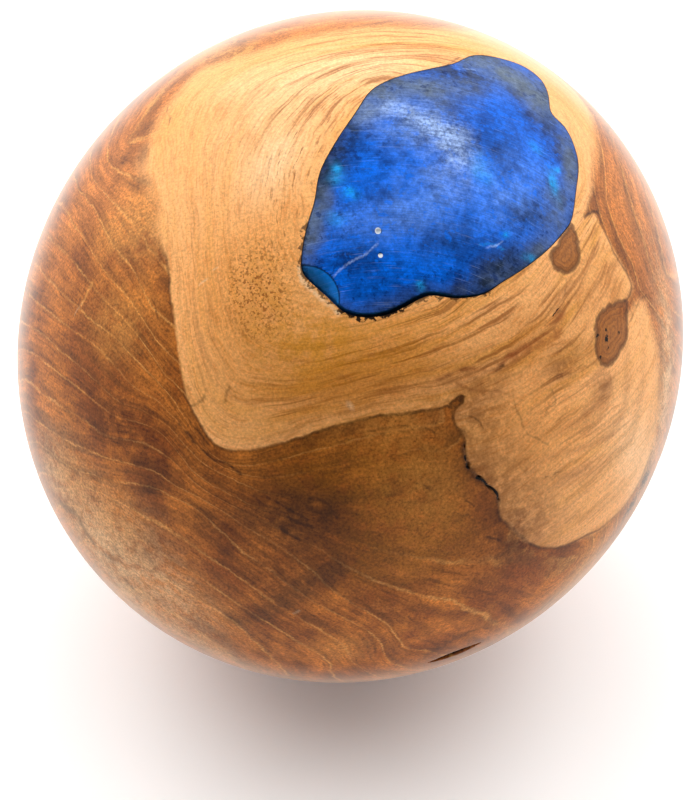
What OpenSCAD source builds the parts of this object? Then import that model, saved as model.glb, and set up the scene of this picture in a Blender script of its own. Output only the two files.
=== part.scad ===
// A turned ball of root wood, with a natural hollow in its side filled flush with cast blue resin.
// Millimetres, +Z up, origin at the centre of the ball, front of the ball towards -Y.

/* [Ball] */
// Diameter of the ball across the grain
ball_d = 98; // [90:1:200]
// How much longer the ball is along the grain, as it has dried slightly oval
grain_extra = 4; // [1:0.5:8]

/* [Resin-filled hollow] */
// Width of the hollow's mouth, seen square on
mouth_w = 50; // [30:1:54]
// Depth of the hollow at its middle
hollow_depth = 18; // [10:1:26]
// Radius of the hollow's dished floor
floor_r = 70; // [60:1:140]
// Bond line between the resin and the wood
bond_line = 0.1; // [0.05:0.05:0.3]
// Widest opening of the seam, where the resin has shrunk away along its lower edge
seam_open = 0.7; // [0.3:0.05:1]

/* [Chip and bubbles in the resin] */
// Width of the shell-shaped chip at the lower corner of the resin
chip_w = 9.5; // [6:0.5:14]
// Depth of that chip at its middle
chip_depth = 1.2; // [0.6:0.1:2]
// Diameter of the larger burst bubble
bubble_d = 0.8; // [0.4:0.1:1.6]

/* [Voids in the wood] */
// Length of the open knot low on the front
knot_l = 8; // [6:0.5:16]
// Width of the open knot
knot_w = 3; // [1.2:0.1:4]
// Depth of the open knot
knot_depth = 2; // [1:0.25:5]
// Length of the ragged bark pocket on the right side
bark_l = 9; // [6:0.5:14]
// Depth of the bark pocket
bark_depth = 1.5; // [0.5:0.25:4]
// Length of the open crack at the heart of the figure
crack_l = 10; // [6:0.5:16]
// Widest opening of that crack
crack_w = 0.7; // [0.3:0.1:1.5]
// Depth of that crack
crack_depth = 2; // [1:0.25:5]

/* [Hidden] */
$fn = 96;

wood_colour = "#b8793f";
resin_colour = "#1c4fb0";

// Directions from the centre, as [degrees round to the right of the front, degrees above the horizon]
grain_dir = [130, 36];
hollow_dir = [41, 65];
knot_dir = [19, -23];
bark_dir = [67, -9];
crack_dir = [21, 21];

// How far the long side of each void is turned from level, in degrees
knot_turn = 17;
bark_turn = 58;
crack_turn = -66;

// The mouth of the hollow, as [across, up] in hundredths of its width, anticlockwise from the right
mouth_rim = [
    [42, -1], [41, 4], [47, 10], [51, 16], [50, 22], [43, 27], [35, 30], [26, 29], [18, 30],
    [7, 32], [-2, 32], [-11, 28], [-20, 24], [-29, 19], [-35, 13], [-41, 8], [-47, 1], [-47, -4],
    [-46, -9], [-45, -14], [-42, -18], [-37, -21], [-32, -22], [-26, -23], [-21, -27], [-14, -30],
    [-8, -30], [0, -30], [9, -29], [17, -27], [22, -25], [29, -19], [36, -13], [40, -7]
];
// Steps of the smooth curve between two points of the rim
rim_steps = 3;
// Bearing of the widest part of the seam, and half of the arc that it opens over, in degrees
seam_bearing = 214;
seam_spread = 45;

// Middle of the chip, as [across, up] in hundredths of the mouth's width
chip_place = [-51, -6];
// The burst bubbles: the same two numbers, and each one's share of bubble_d
bubbles = [[-28, -3, 1], [-31, -8, 0.6]];

// Ragged outline of the bark pocket, in hundredths of its length
bark_rim = [
    [-50, 2], [-31, 12], [-18, 8], [-5, 20], [12, 15], [27, 22], [50, 4],
    [33, -6], [20, -17], [3, -9], [-12, -21], [-28, -8]
];

// Centreline of the crack, as [along, across] in hundredths of its length, with its share of crack_w
crack_line = [
    [-50, 0, 0], [-36, -5, 0.4], [-22, -9, 0.5], [-8, -10, 0.6], [6, -7, 0.9],
    [20, -4, 1], [34, -2, 0.8], [50, 0, 0]
];

grain_d = ball_d + grain_extra;
hollow_top = surface_r(hollow_dir);
floor_centre = hollow_top - hollow_depth + floor_r;
chip_r = (pow(chip_w / 2, 2) + pow(chip_depth, 2)) / (2 * chip_depth);
mouth = closed_curve(mouth_rim * mouth_w / 100, rim_steps);

// Unit vector of a direction
function unit(dir) = [sin(dir[0]) * cos(dir[1]), -cos(dir[0]) * cos(dir[1]), sin(dir[1])];

// Direction of a vector
function direction(v) = [atan2(v[0], -v[1]), asin(v[2] / norm(v))];

// Distance from the centre of the ball to its surface in a direction
function surface_r(dir) =
    let (along = unit(dir) * unit(grain_dir))
    1 / sqrt(pow(2 * along / grain_d, 2) + (1 - along * along) * pow(2 / ball_d, 2));

// Direction of the surface above a place in the mouth of the hollow
function mouth_dir(place) =
    let (
        out = unit(hollow_dir),
        across = [cos(hollow_dir[0]), sin(hollow_dir[0]), 0],
        x = place[0] * mouth_w / 100,
        y = place[1] * mouth_w / 100
    )
    direction(x * across + y * cross(out, across) + sqrt(pow(hollow_top, 2) - x * x - y * y) * out);

// Point at t on a smooth curve from b to c, with a before it and d after it
function smooth_point(a, b, c, d, t) =
    (2 * b + (c - a) * t + (2 * a - 5 * b + 4 * c - d) * t * t
    + (3 * b - a - 3 * c + d) * t * t * t) / 2;

// A smooth closed curve through the points
function closed_curve(pts, steps) =
    let (n = len(pts))
    [for (i = [0 : n - 1], s = [0 : steps - 1])
        smooth_point(pts[(i + n - 1) % n], pts[i], pts[(i + 1) % n], pts[(i + 2) % n], s / steps)];

// Width of the seam at a bearing round the mouth
function seam(bearing) =
    let (off = bearing - seam_bearing)
    abs(off) >= seam_spread ? bond_line
    : bond_line + (seam_open - bond_line) * pow(cos(90 * off / seam_spread), 2);

// The points of an anticlockwise outline, each moved inwards by the width of the seam there
function drawn_in(pts) =
    let (n = len(pts))
    [for (i = [0 : n - 1])
        let (
            run = pts[(i + 1) % n] - pts[(i + n - 1) % n],
            bearing = (atan2(pts[i][1], pts[i][0]) + 360) % 360
        )
        pts[i] + seam(bearing) * [-run[1], run[0]] / norm(run)];

// Outline of a slit that opens to both sides of a centreline
function slit(line, length, width) = concat(
    [for (p = line) [p[0], p[1]] * length / 100 - [0, p[2] * width / 2]],
    [for (i = [len(line) - 2 : -1 : 1])
        [line[i][0], line[i][1]] * length / 100 + [0, line[i][2] * width / 2]]
);

// Turns +Z to a direction, with +X level
module facing(dir) {
    rotate([0, 0, dir[0]]) rotate([90 - dir[1], 0, 0]) children();
}

// The turned shape: round across the grain, a little longer along it
module blank() {
    facing(grain_dir) scale([1, 1, grain_d / ball_d]) sphere(d = ball_d);
}

// The hollow under an outline of its mouth: straight sides down to a dished floor
module hollow(outline, gap) {
    facing(hollow_dir) intersection() {
        linear_extrude(height = 2 * grain_d) polygon(outline);
        translate([0, 0, floor_centre]) sphere(r = floor_r - gap);
    }
}

// A straight-sided cut into the surface, with the outline of its children
module surface_cut(dir, turn, depth) {
    facing(dir) translate([0, 0, surface_r(dir) - depth])
        linear_extrude(height = 2 * depth) rotate(turn) children();
}

// The shell-shaped chip: a shallow dish, part of a large ball
module chip(dir) {
    facing(dir) translate([0, 0, surface_r(dir) + chip_r - chip_depth]) sphere(r = chip_r);
}

// A burst bubble, sanded open to a round pit as deep as half its width
module bubble_pit(dir, d) {
    surface_cut(dir, 0, d / 2) circle(d = d);
}

// Eye-shaped outline with pointed ends
module eye(length, width) {
    r = (length * length + width * width) / (4 * width);
    intersection_for (side = [-1, 1]) translate([0, side * (r - width / 2)]) circle(r = r);
}

module wooden_ball() {
    color(wood_colour) difference() {
        blank();
        hollow(mouth, 0);
        surface_cut(knot_dir, knot_turn, knot_depth) eye(knot_l, knot_w);
        surface_cut(bark_dir, bark_turn, bark_depth) polygon(bark_rim * bark_l / 100);
        surface_cut(crack_dir, crack_turn, crack_depth) polygon(slit(crack_line, crack_l, crack_w));
    }
}

module resin_inlay() {
    color(resin_colour) difference() {
        intersection() {
            blank();
            hollow(drawn_in(mouth), bond_line);
        }
        chip(mouth_dir(chip_place));
        for (b = bubbles) bubble_pit(mouth_dir(b), bubble_d * b[2]);
    }
}

wooden_ball();
resin_inlay();
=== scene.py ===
"""A turned ball of root wood with a blue resin inlay, dressed and lit for one view.

Lengths are in metres, unless a name ends in _mm (millimetres), _px (pixels of the 699 x 800 picture) or
_deg (degrees). +Z is up, and the front of the ball is towards -Y.
"""

import logging
import math
from collections.abc import Mapping, Sequence
from dataclasses import dataclass
from enum import Enum
from typing import ClassVar

import bmesh
import bpy
import numpy as np
from mathutils import Euler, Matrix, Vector, noise


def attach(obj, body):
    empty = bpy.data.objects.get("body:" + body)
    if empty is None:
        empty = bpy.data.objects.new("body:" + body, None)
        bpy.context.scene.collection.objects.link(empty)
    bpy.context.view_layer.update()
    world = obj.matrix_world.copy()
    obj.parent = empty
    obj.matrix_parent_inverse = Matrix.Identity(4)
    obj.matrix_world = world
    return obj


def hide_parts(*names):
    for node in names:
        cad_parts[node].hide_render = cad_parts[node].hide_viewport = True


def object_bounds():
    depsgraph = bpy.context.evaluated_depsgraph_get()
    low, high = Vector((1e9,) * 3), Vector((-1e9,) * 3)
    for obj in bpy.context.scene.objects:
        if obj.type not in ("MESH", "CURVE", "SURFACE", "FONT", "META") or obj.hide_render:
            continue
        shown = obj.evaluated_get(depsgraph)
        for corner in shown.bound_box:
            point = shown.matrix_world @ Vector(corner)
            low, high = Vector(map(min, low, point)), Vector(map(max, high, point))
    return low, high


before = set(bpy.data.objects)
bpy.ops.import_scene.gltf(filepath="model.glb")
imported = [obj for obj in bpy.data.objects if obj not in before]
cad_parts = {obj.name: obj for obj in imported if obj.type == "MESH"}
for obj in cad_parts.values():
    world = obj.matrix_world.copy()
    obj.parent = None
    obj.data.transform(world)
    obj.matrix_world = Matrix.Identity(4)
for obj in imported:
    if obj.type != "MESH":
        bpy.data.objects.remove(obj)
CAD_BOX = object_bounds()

Pixel = tuple[float, float]
Triple = tuple[float, float, float]
Path = tuple[Pixel, ...]
Figure = Mapping[float, Path]
Socket = bpy.types.NodeSocket
Feed = Socket | float | tuple[float, ...]

MM = 0.001
# A point this near to the turned surface counts as on it
ON_SURFACE = 0.00002
# Edges sharper than this aren't shaded smooth
SHARP_DEG = 45.0
# Points of a field that are worked out at a time
FIELD_BATCH = 4000
LOG = logging.getLogger("scene")


class Field(Enum):
    """A smooth number on a mesh that its colours follow; the value names its attribute."""

    SAP = "sap"
    RING = "ring"
    ARC = "arc"
    FLOW = "flow"
    KNOT = "knot"
    PIT = "pit"
    RIM = "rim"
    LAP = "lap"


class Tint(Enum):
    """A colour that comes through in places; the value names its attribute."""

    DARK = "tint_dark"
    BLACK = "tint_black"
    RED = "tint_red"
    OLIVE = "tint_olive"
    YELLOW = "tint_yellow"
    # Greyish tan, in one strip a painted highlight
    TAN = "tint_tan"
    LIGHT = "tint_light"
    DOTS = "tint_dots"
    PLAIN = "tint_plain"
    GOLDEN = "tint_golden"
    GRAIN = "tint_grain"
    PORES = "tint_pores"
    AMBER = "tint_amber"
    CRUMB = "tint_crumb"
    HALO = "tint_halo"
    SOFT = "tint_soft"
    WARM = "tint_warm"
    # Painted highlight
    PALE = "tint_pale"
    ORANGE = "tint_orange"
    SHADE = "tint_shade"
    GLOW = "tint_glow"
    CYAN = "tint_cyan"
    AZURE = "tint_azure"
    # Painted highlight of the overhead light, and pale scratches
    HAZE = "tint_haze"
    # Grey blue near the edge, along the top a painted glare
    SLATE = "tint_slate"
    DEEP = "tint_deep"
    BUBBLE = "tint_bubble"
    VIOLET = "tint_violet"
    VEIN = "tint_vein"


def unit_of(azimuth_deg: float, elevation_deg: float) -> np.ndarray:
    """Unit vector of a direction.

    Args:
        azimuth_deg: Degrees round to the right of the front.
        elevation_deg: Degrees above the horizon.

    Returns:
        The vector.
    """
    azimuth, elevation = math.radians(azimuth_deg), math.radians(elevation_deg)
    level = math.cos(elevation)
    return np.array([math.sin(azimuth) * level, -math.cos(azimuth) * level, math.sin(elevation)])


def turned(across: np.ndarray, up: np.ndarray, turn_deg: float) -> tuple[np.ndarray, np.ndarray]:
    """Two axes, turned in their plane.

    Args:
        across: The first axis.
        up: The second axis.
        turn_deg: How far they are turned, from the first towards the second.

    Returns:
        Both axes.
    """
    cosine, sine = math.cos(math.radians(turn_deg)), math.sin(math.radians(turn_deg))
    return cosine * across + sine * up, cosine * up - sine * across


def facing(azimuth_deg: float, elevation_deg: float, turn_deg: float = 0.0) -> np.ndarray:
    """Axes of a place on the ball: across, up and out.

    Args:
        azimuth_deg: Degrees round to the right of the front.
        elevation_deg: Degrees above the horizon.
        turn_deg: How far the first two are turned from level.

    Returns:
        A 3 x 3 matrix whose rows are the axes.
    """
    out = unit_of(azimuth_deg, elevation_deg)
    azimuth = math.radians(azimuth_deg)
    across = np.array([math.cos(azimuth), math.sin(azimuth), 0.0])
    return np.stack([*turned(across, np.cross(out, across), turn_deg), out])


def smooth_curve(points: np.ndarray, steps: int, closed: bool = False) -> np.ndarray:
    """A smooth curve through points.

    Args:
        points: The points, one in each row.
        steps: Steps between two points.
        closed: Whether the curve goes on from the last point to the first.

    Returns:
        The points of the curve.
    """
    if closed:
        padded = np.vstack([points[-1:], points, points[:2]])
    else:
        padded = np.vstack([2 * points[0] - points[1], points, 2 * points[-1] - points[-2]])
    t = np.linspace(0.0, 1.0, steps, endpoint=False)[:, None]
    runs = []
    for a, b, c, d in zip(padded[:-3], padded[1:-2], padded[2:-1], padded[3:]):
        square = 2 * a - 5 * b + 4 * c - d
        cube = 3 * b - a - 3 * c + d
        runs.append((2 * b + (c - a) * t + square * t**2 + cube * t**3) / 2)
    if not closed:
        runs.append(points[-1:])
    return np.vstack(runs)


def ramp(values: np.ndarray, low: float, high: float) -> np.ndarray:
    """Smooth rise from 0 at low to 1 at high.

    Args:
        values: The numbers.
        low: Where the rise starts.
        high: Where it ends.

    Returns:
        One number from 0 to 1 for each value.
    """
    t = np.clip((values - low) / (high - low), 0.0, 1.0)
    return t * t * (3 - 2 * t)


def distance_to_path(points: np.ndarray, path: np.ndarray) -> np.ndarray:
    """Distance from each point to a line of straight runs.

    Args:
        points: The points.
        path: The corners of the line.

    Returns:
        One distance for each point.
    """
    best = np.full(len(points), np.inf)
    for start, end in zip(path[:-1], path[1:]):
        run = end - start
        along = np.clip((points - start) @ run / max(run @ run, 1e-18), 0.0, 1.0)
        best = np.minimum(best, np.linalg.norm(points - start - along[:, None] * run, axis=1))
    return best


def round_path(points: np.ndarray, path: np.ndarray, reach: float) -> np.ndarray:
    """Which points lie in a ball that holds all places within a reach of a line.

    Args:
        points: The points.
        path: The corners of the line.
        reach: The reach.

    Returns:
        True for each point in the ball.
    """
    middle = (path.min(axis=0) + path.max(axis=0)) / 2
    return np.linalg.norm(points - middle, axis=1) < np.linalg.norm(path - middle, axis=1).max() + reach


def looped(outline: np.ndarray) -> np.ndarray:
    """An outline, with its first corner again at its end."""
    return np.vstack([outline, outline[:1]])


def even_loop(corners: np.ndarray, count: int) -> np.ndarray:
    """Points at even steps along a closed outline, with its corners eased.

    Args:
        corners: Corners of the outline, in order.
        count: How many points.

    Returns:
        The points.
    """
    closed = looped(corners)
    run = np.concatenate([[0.0], np.cumsum(np.linalg.norm(np.diff(closed, axis=0), axis=1))])
    steps = np.linspace(0, run[-1], count, endpoint=False)
    loop = np.column_stack([np.interp(steps, run, closed[:, side]) for side in range(2)])
    return (np.roll(loop, 1, axis=0) + 2 * loop + np.roll(loop, -1, axis=0)) / 4


def inside_outline(places: np.ndarray, outline: np.ndarray) -> np.ndarray:
    """Whether flat places lie inside a closed outline.

    Args:
        places: The places, two numbers each.
        outline: The corners of the outline, two numbers each.

    Returns:
        True for each place inside.
    """
    inside = np.zeros(len(places), bool)
    x, y = places.T
    for (x1, y1), (x2, y2) in zip(outline, np.roll(outline, -1, axis=0)):
        if y1 != y2:
            inside ^= ((y1 > y) != (y2 > y)) & (x < (x2 - x1) * (y - y1) / (y2 - y1) + x1)
    return inside


def wavered(points: np.ndarray, *waves: tuple[float, float]) -> np.ndarray:
    """Points, each shifted a little by noise, so that what is drawn at them comes out uneven.

    Blender starts this noise at another place in each session, so the shifts differ a little between runs.

    Args:
        points: The points.
        waves: Size of the waves and how far they shift a point, once or more.

    Returns:
        The shifted points.
    """
    for size, reach in waves:
        points = points + reach * np.array([noise.noise_vector(Vector(p) / size) for p in points])
    return points


def noise_at(points: np.ndarray, size: float) -> np.ndarray:
    """Smooth noise about 0 at points, with waves of a size."""
    return np.array([noise.noise(Vector(p) / size) for p in points])


@dataclass(frozen=True)
class Spheroid:
    """The turned shape: round across the grain, a little longer along it.

    Attributes:
        across: Radius across the grain.
        along: Radius along the grain.
        grain_deg: Azimuth and elevation of the grain.
    """

    across: float = 0.049
    along: float = 0.051
    grain_deg: tuple[float, float] = (130.0, 36.0)

    def radius(self, points: np.ndarray) -> np.ndarray:
        """Distance from the centre to the surface, in the direction of each point.

        Args:
            points: Points away from the centre.

        Returns:
            One distance for each point.
        """
        share = (points @ unit_of(*self.grain_deg)) / np.linalg.norm(points, axis=-1)
        return 1.0 / np.sqrt((share / self.along) ** 2 + (1 - share**2) / self.across**2)

    def onto(self, points: np.ndarray) -> np.ndarray:
        """The points, each moved out or in to the surface."""
        return points * (self.radius(points) / np.linalg.norm(points, axis=-1))[..., None]

    def depth(self, points: np.ndarray) -> np.ndarray:
        """How deep each point lies below the surface."""
        return self.radius(points) - np.linalg.norm(points, axis=-1)

    def meet(self, eye: np.ndarray, rays: np.ndarray) -> np.ndarray:
        """Where rays from the eye first meet the surface.

        Args:
            eye: The eye.
            rays: Directions; one that misses gives the place of the outline next to it.

        Returns:
            One point of the surface for each ray.
        """
        grain = unit_of(*self.grain_deg)
        form = np.eye(3) / self.across**2 + np.outer(grain, grain) * (1 / self.along**2 - 1 / self.across**2)
        a = np.einsum("ni,ij,nj->n", rays, form, rays)
        b = 2 * rays @ form @ eye
        c = eye @ form @ eye - 1
        t = (-b - np.sqrt(np.maximum(b * b - 4 * a * c, 0.0))) / (2 * a)
        return self.onto(eye + t[:, None] * rays)


@dataclass(frozen=True)
class PhotoView:
    """The camera, and where a pixel of its picture lies on the ball.

    Attributes:
        blank: The shape in front of it.
        elevation_deg: Height of the camera above the horizon.
        distance: From the centre of the ball.
        focal_px: Focal length in pixels of the picture.
        size_px: Width and height of the picture.
        ball_px: Pixel of the centre of the ball.
    """

    blank: Spheroid = Spheroid()
    elevation_deg: float = 42.0
    distance: float = 0.25
    focal_px: float = 1640.0
    size_px: Pixel = (699.0, 800.0)
    ball_px: Pixel = (350.5, 348.4)

    @property
    def toward(self) -> np.ndarray:
        """Unit vector from the centre of the ball to the camera."""
        return unit_of(0.0, self.elevation_deg)

    def turn(self) -> Euler:
        """The camera's rotation, with the ball a little above the middle of the picture.

        Returns:
            The rotation.
        """
        right = self.ball_px[0] - self.size_px[0] / 2
        above = self.size_px[1] / 2 - self.ball_px[1]
        dip = math.radians(self.elevation_deg) + math.atan(above / self.focal_px)
        return Euler((math.pi / 2 - dip, 0.0, math.atan(right / self.focal_px)))

    def on_ball(self, pixels: Sequence[Pixel] | np.ndarray) -> np.ndarray:
        """Points of the ball's surface seen at pixels.

        Args:
            pixels: The pixels, from the top left corner.

        Returns:
            One point for each pixel.
        """
        offsets = np.asarray(pixels, float) - np.array(self.size_px) / 2
        local = np.column_stack([offsets[:, 0], -offsets[:, 1], np.full(len(offsets), -self.focal_px)])
        rays = local @ np.array(self.turn().to_matrix()).T
        return self.blank.meet(self.toward * self.distance, rays / np.linalg.norm(rays, axis=1)[:, None])

    def line(self, path: Path, steps: int = 4) -> np.ndarray:
        """A smooth line on the ball through pixels."""
        return self.on_ball(smooth_curve(np.asarray(path, float), steps))

    def flat(self, points: np.ndarray) -> np.ndarray:
        """Places of points on a flat map of the ball whose middle faces the camera.

        Args:
            points: Points of the ball.

        Returns:
            Two numbers for each point.
        """
        unit = points / np.linalg.norm(points, axis=1)[:, None]
        right = np.array([1.0, 0.0, 0.0])
        up = np.cross(self.toward, right)
        return np.column_stack([unit @ right, unit @ up]) / (1.0 + unit @ self.toward + 1e-9)[:, None]

    def build(self) -> bpy.types.Object:
        """Makes the camera and gives it to the scene.

        Returns:
            The camera.
        """
        data = bpy.data.cameras.new("camera")
        data.sensor_width = 36.0
        data.lens = self.focal_px * data.sensor_width / max(self.size_px)
        data.clip_start, data.clip_end = 0.01, 10.0
        camera = bpy.data.objects.new("camera", data)
        camera.location = Vector(self.toward * self.distance)
        camera.rotation_euler = self.turn()
        bpy.context.scene.collection.objects.link(camera)
        bpy.context.scene.camera = camera
        return camera


@dataclass(frozen=True)
class Streak:
    """A line of colour on the surface.

    Attributes:
        tint: Its colour.
        width_mm: Its full width.
        strength: Its share of that colour, at most 1.
        path: Pixels along the line.
        core: Share of its half width that has the full strength.
        fade: Share of its half width at which it ends.
    """

    core: ClassVar[float] = 0.35
    fade: ClassVar[float] = 1.3
    tint: Tint
    width_mm: float
    strength: float
    path: Path

    def cover(self, points: np.ndarray, view: PhotoView) -> np.ndarray:
        """Share of the colour at each point.

        Args:
            points: Points of the surface.
            view: The camera that the pixels belong to.

        Returns:
            One number from 0 to 1 for each point.
        """
        line, half = view.line(self.path), self.width_mm * MM / 2
        near = round_path(points, line, 2 * half)
        share = np.zeros(len(points))
        share[near] = 1 - ramp(distance_to_path(points[near], line), self.core * half, self.fade * half)
        return self.strength * share


@dataclass(frozen=True)
class Stain:
    """A soft spot of colour on the surface.

    Attributes:
        tint: Its colour.
        at_px: Its middle.
        reach_mm: Its half width and half height.
        turn_deg: How far it is turned from level.
        strength: Its share of that colour, at most 1.
    """

    tint: Tint
    at_px: Pixel
    reach_mm: tuple[float, float]
    turn_deg: float
    strength: float

    def cover(self, points: np.ndarray, view: PhotoView) -> np.ndarray:
        """Share of the colour at each point.

        Args:
            points: Points of the surface.
            view: The camera that the pixels belong to.

        Returns:
            One number from 0 to 1 for each point.
        """
        middle = view.on_ball([self.at_px])[0]
        out = middle / np.linalg.norm(middle)
        level = np.array([1.0, 0.0, 0.0]) - out[0] * out
        level /= np.linalg.norm(level)
        axes = np.column_stack([*turned(level, np.cross(out, level), self.turn_deg), out])
        reach = np.array([*self.reach_mm, 2 * max(self.reach_mm)]) * MM
        return self.strength * np.exp(-((((points - middle) @ axes) / reach) ** 2).sum(axis=1))


def streaks(tint: Tint, *rows: tuple[float, float, Path]) -> tuple[Streak, ...]:
    """Streaks of one tint, from the width, the strength and the path of each."""
    return tuple(Streak(tint, *row) for row in rows)


def stains(tint: Tint, *rows: tuple[float, ...]) -> tuple[Stain, ...]:
    """Stains of one tint, from the middle, the reach, the turn and the strength of each: six numbers."""
    return tuple(Stain(tint, row[:2], row[2:4], *row[4:]) for row in rows)


class GrainField:
    """A smooth number over the whole ball that keeps its value along each given line."""

    def __init__(self, figure: Figure, view: PhotoView, ease: float = 0.15) -> None:
        """Fits the field.

        Args:
            figure: The pixels along each line, by the field's value there.
            view: The camera that the pixels belong to.
            ease: How far the field may leave the lines, so that it stays smooth.
        """
        runs = [view.line(path, 2) for path in figure.values()]
        self.knots = np.vstack(runs) / MM
        values = np.concatenate([np.full(len(run), value) for run, value in zip(runs, figure)])
        count = len(self.knots)
        gaps = np.linalg.norm(self.knots[:, None] - self.knots[None], axis=2)
        plane = np.column_stack([np.ones(count), self.knots])
        system = np.block([[ease * np.eye(count) - gaps, plane], [plane.T, np.zeros((4, 4))]])
        weights = np.linalg.solve(system, np.concatenate([values, np.zeros(4)]))
        self.weights, self.plane = weights[:count], weights[count:]

    def at(self, points: np.ndarray) -> np.ndarray:
        """The field at points.

        Args:
            points: The points.

        Returns:
            One number for each point.
        """
        parts = []
        for part in np.array_split(points / MM, max(1, len(points) // FIELD_BATCH)):
            gaps = np.linalg.norm(part[:, None] - self.knots[None], axis=2)
            parts.append(self.plane[0] + part @ self.plane[1:] - gaps @ self.weights)
        return np.concatenate(parts)


# Edge of the pale sapwood, from the top right over the left to the lower right
SAPWOOD_EDGE: Path = (
    (450, 29), (400, 27), (350, 29), (300, 38), (245, 55), (207, 66), (190, 78), (175, 97), (160, 117),
    (152, 137), (144, 152), (140, 168), (152, 192), (157, 210), (155, 230), (164, 251), (169, 272),
    (173, 309), (177, 347), (184, 383), (191, 406), (203, 428), (213, 443), (228, 448), (253, 449),
    (272, 444), (306, 435), (346, 422), (380, 415), (430, 409), (444, 406), (454, 398), (461, 394),
    (466, 396), (465, 403), (458, 408), (455, 414), (456, 424), (463, 431), (465, 440), (465, 457),
    (471, 471), (482, 480), (492, 490), (498, 499), (500, 515), (509, 525), (517, 535), (527, 542),
    (546, 548), (563, 546), (581, 538), (600, 529), (620, 511), (638, 485), (651, 453), (657, 425),
    (661, 395), (660, 365), (656, 340), (650, 318), (644, 302), (637, 303), (631, 311), (622, 318),
    (618, 308), (624, 302), (632, 287), (629, 278), (622, 265), (615, 253), (609, 240), (599, 222),
    (594, 214), (584, 217), (588, 203), (592, 180), (594, 166), (596, 143), (587, 107),
)
# Where that edge goes on behind the top of the ball, as azimuth and elevation
SAPWOOD_BEHIND_DEG: Path = ((118, 48), (129, 53), (138, 59))

# Growth lines of the heartwood, counted outwards from the sapwood
GROWTH_LINES: Figure = {
    -1: ((128, 142), (150, 107), (180, 74), (225, 48), (290, 28), (360, 18), (430, 17)),
    1: ((91, 179), (106, 196), (121, 211), (135, 226), (146, 248)),
    2: ((77, 184), (93, 205), (102, 223), (112, 244), (123, 257), (135, 272), (142, 290), (152, 309)),
    3: ((62, 205), (74, 225), (87, 244), (97, 261), (112, 280), (127, 297), (140, 316), (155, 340)),
    4: (
        (54, 242), (68, 255), (79, 269), (91, 282), (100, 294), (118, 312), (135, 332), (150, 352),
        (165, 377),
    ),
    5: (
        (39, 269), (56, 288), (74, 303), (87, 318), (104, 329), (118, 341), (131, 356), (146, 369),
        (162, 386), (173, 400), (185, 419), (198, 438), (210, 455), (228, 464), (250, 466), (280, 460),
        (310, 452), (345, 443), (380, 434), (420, 428), (445, 424),
    ),
    6: (
        (45, 308), (58, 319), (74, 331), (87, 338), (100, 349), (112, 362), (127, 380), (142, 392),
        (158, 400), (171, 415), (183, 426), (192, 440), (204, 451), (217, 463), (240, 474), (265, 477),
        (300, 472), (340, 464), (380, 455), (420, 447),
    ),
    7: (
        (20, 322), (31, 327), (49, 339), (62, 353), (81, 368), (104, 389), (121, 403), (139, 408),
        (152, 417), (165, 424), (180, 440), (195, 455), (212, 468), (232, 478), (260, 490), (295, 497),
        (335, 500), (380, 498), (420, 490),
    ),
    8: (
        (24, 349), (39, 357), (60, 374), (77, 386), (95, 401), (116, 416), (135, 421), (150, 426),
        (162, 434), (173, 447), (183, 459), (192, 472), (212, 487), (245, 503), (280, 517), (315, 528),
        (350, 540), (390, 552), (430, 560), (470, 563), (510, 560), (545, 562), (580, 555),
    ),
    9: (
        (30, 383), (54, 401), (70, 412), (83, 420), (104, 435), (120, 439), (139, 443), (154, 449),
        (169, 458), (183, 470), (200, 486), (222, 500), (250, 514), (280, 529), (301, 540), (321, 549),
        (340, 562), (370, 577), (405, 590), (440, 599), (462, 605), (490, 615), (515, 632),
    ),
    10: (
        (36, 422), (60, 437), (93, 453), (110, 459), (127, 463), (144, 468), (162, 476), (175, 486),
        (188, 492), (205, 501), (225, 513), (245, 526), (265, 538), (282, 549), (301, 562), (319, 577),
        (332, 590), (351, 603), (369, 614), (386, 625), (397, 638), (403, 647),
    ),
    11: (
        (39, 442), (58, 459), (74, 469), (87, 474), (112, 481), (139, 484), (158, 489), (173, 497),
        (188, 503), (205, 517), (225, 536), (245, 553), (262, 564), (282, 580), (301, 593), (319, 606),
        (340, 616), (364, 627), (380, 640), (384, 653),
    ),
    12: (
        (70, 480), (100, 492), (130, 507), (160, 526), (190, 545), (219, 564), (245, 580), (267, 599),
        (288, 612), (310, 625), (332, 638), (345, 649), (351, 662),
    ),
    13: (
        (95, 510), (120, 527), (150, 546), (180, 565), (204, 580), (223, 593), (245, 608), (271, 625),
        (293, 638), (314, 651), (332, 664),
    ),
    14: (
        (110, 540), (140, 562), (170, 582), (200, 600), (230, 619), (245, 632), (262, 649), (278, 662),
        (288, 677),
    ),
    15: ((140, 590), (170, 610), (200, 632), (225, 652), (245, 668)),
    20: ((592, 115), (604, 160), (606, 200), (618, 235), (632, 262), (640, 290)),
    21: ((610, 130), (622, 170), (632, 205), (645, 245), (655, 280)),
    22: ((630, 150), (645, 190), (657, 230), (667, 275)),
}

# Soft brown arcs in the golden wood on the right
GOLDEN_ARCS: Figure = {
    0: ((500, 515), (527, 542), (563, 546), (600, 529), (638, 485), (654, 440), (661, 395)),
    1: ((520, 520), (552, 522), (593, 512), (621, 491), (640, 462), (650, 426)),
    2: ((545, 482), (564, 478), (583, 474), (614, 455), (633, 432), (640, 403)),
    3: ((564, 453), (593, 443), (614, 430), (625, 403), (625, 384)),
    4: ((540, 440), (565, 430), (590, 418), (605, 400), (608, 380)),
}

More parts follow.
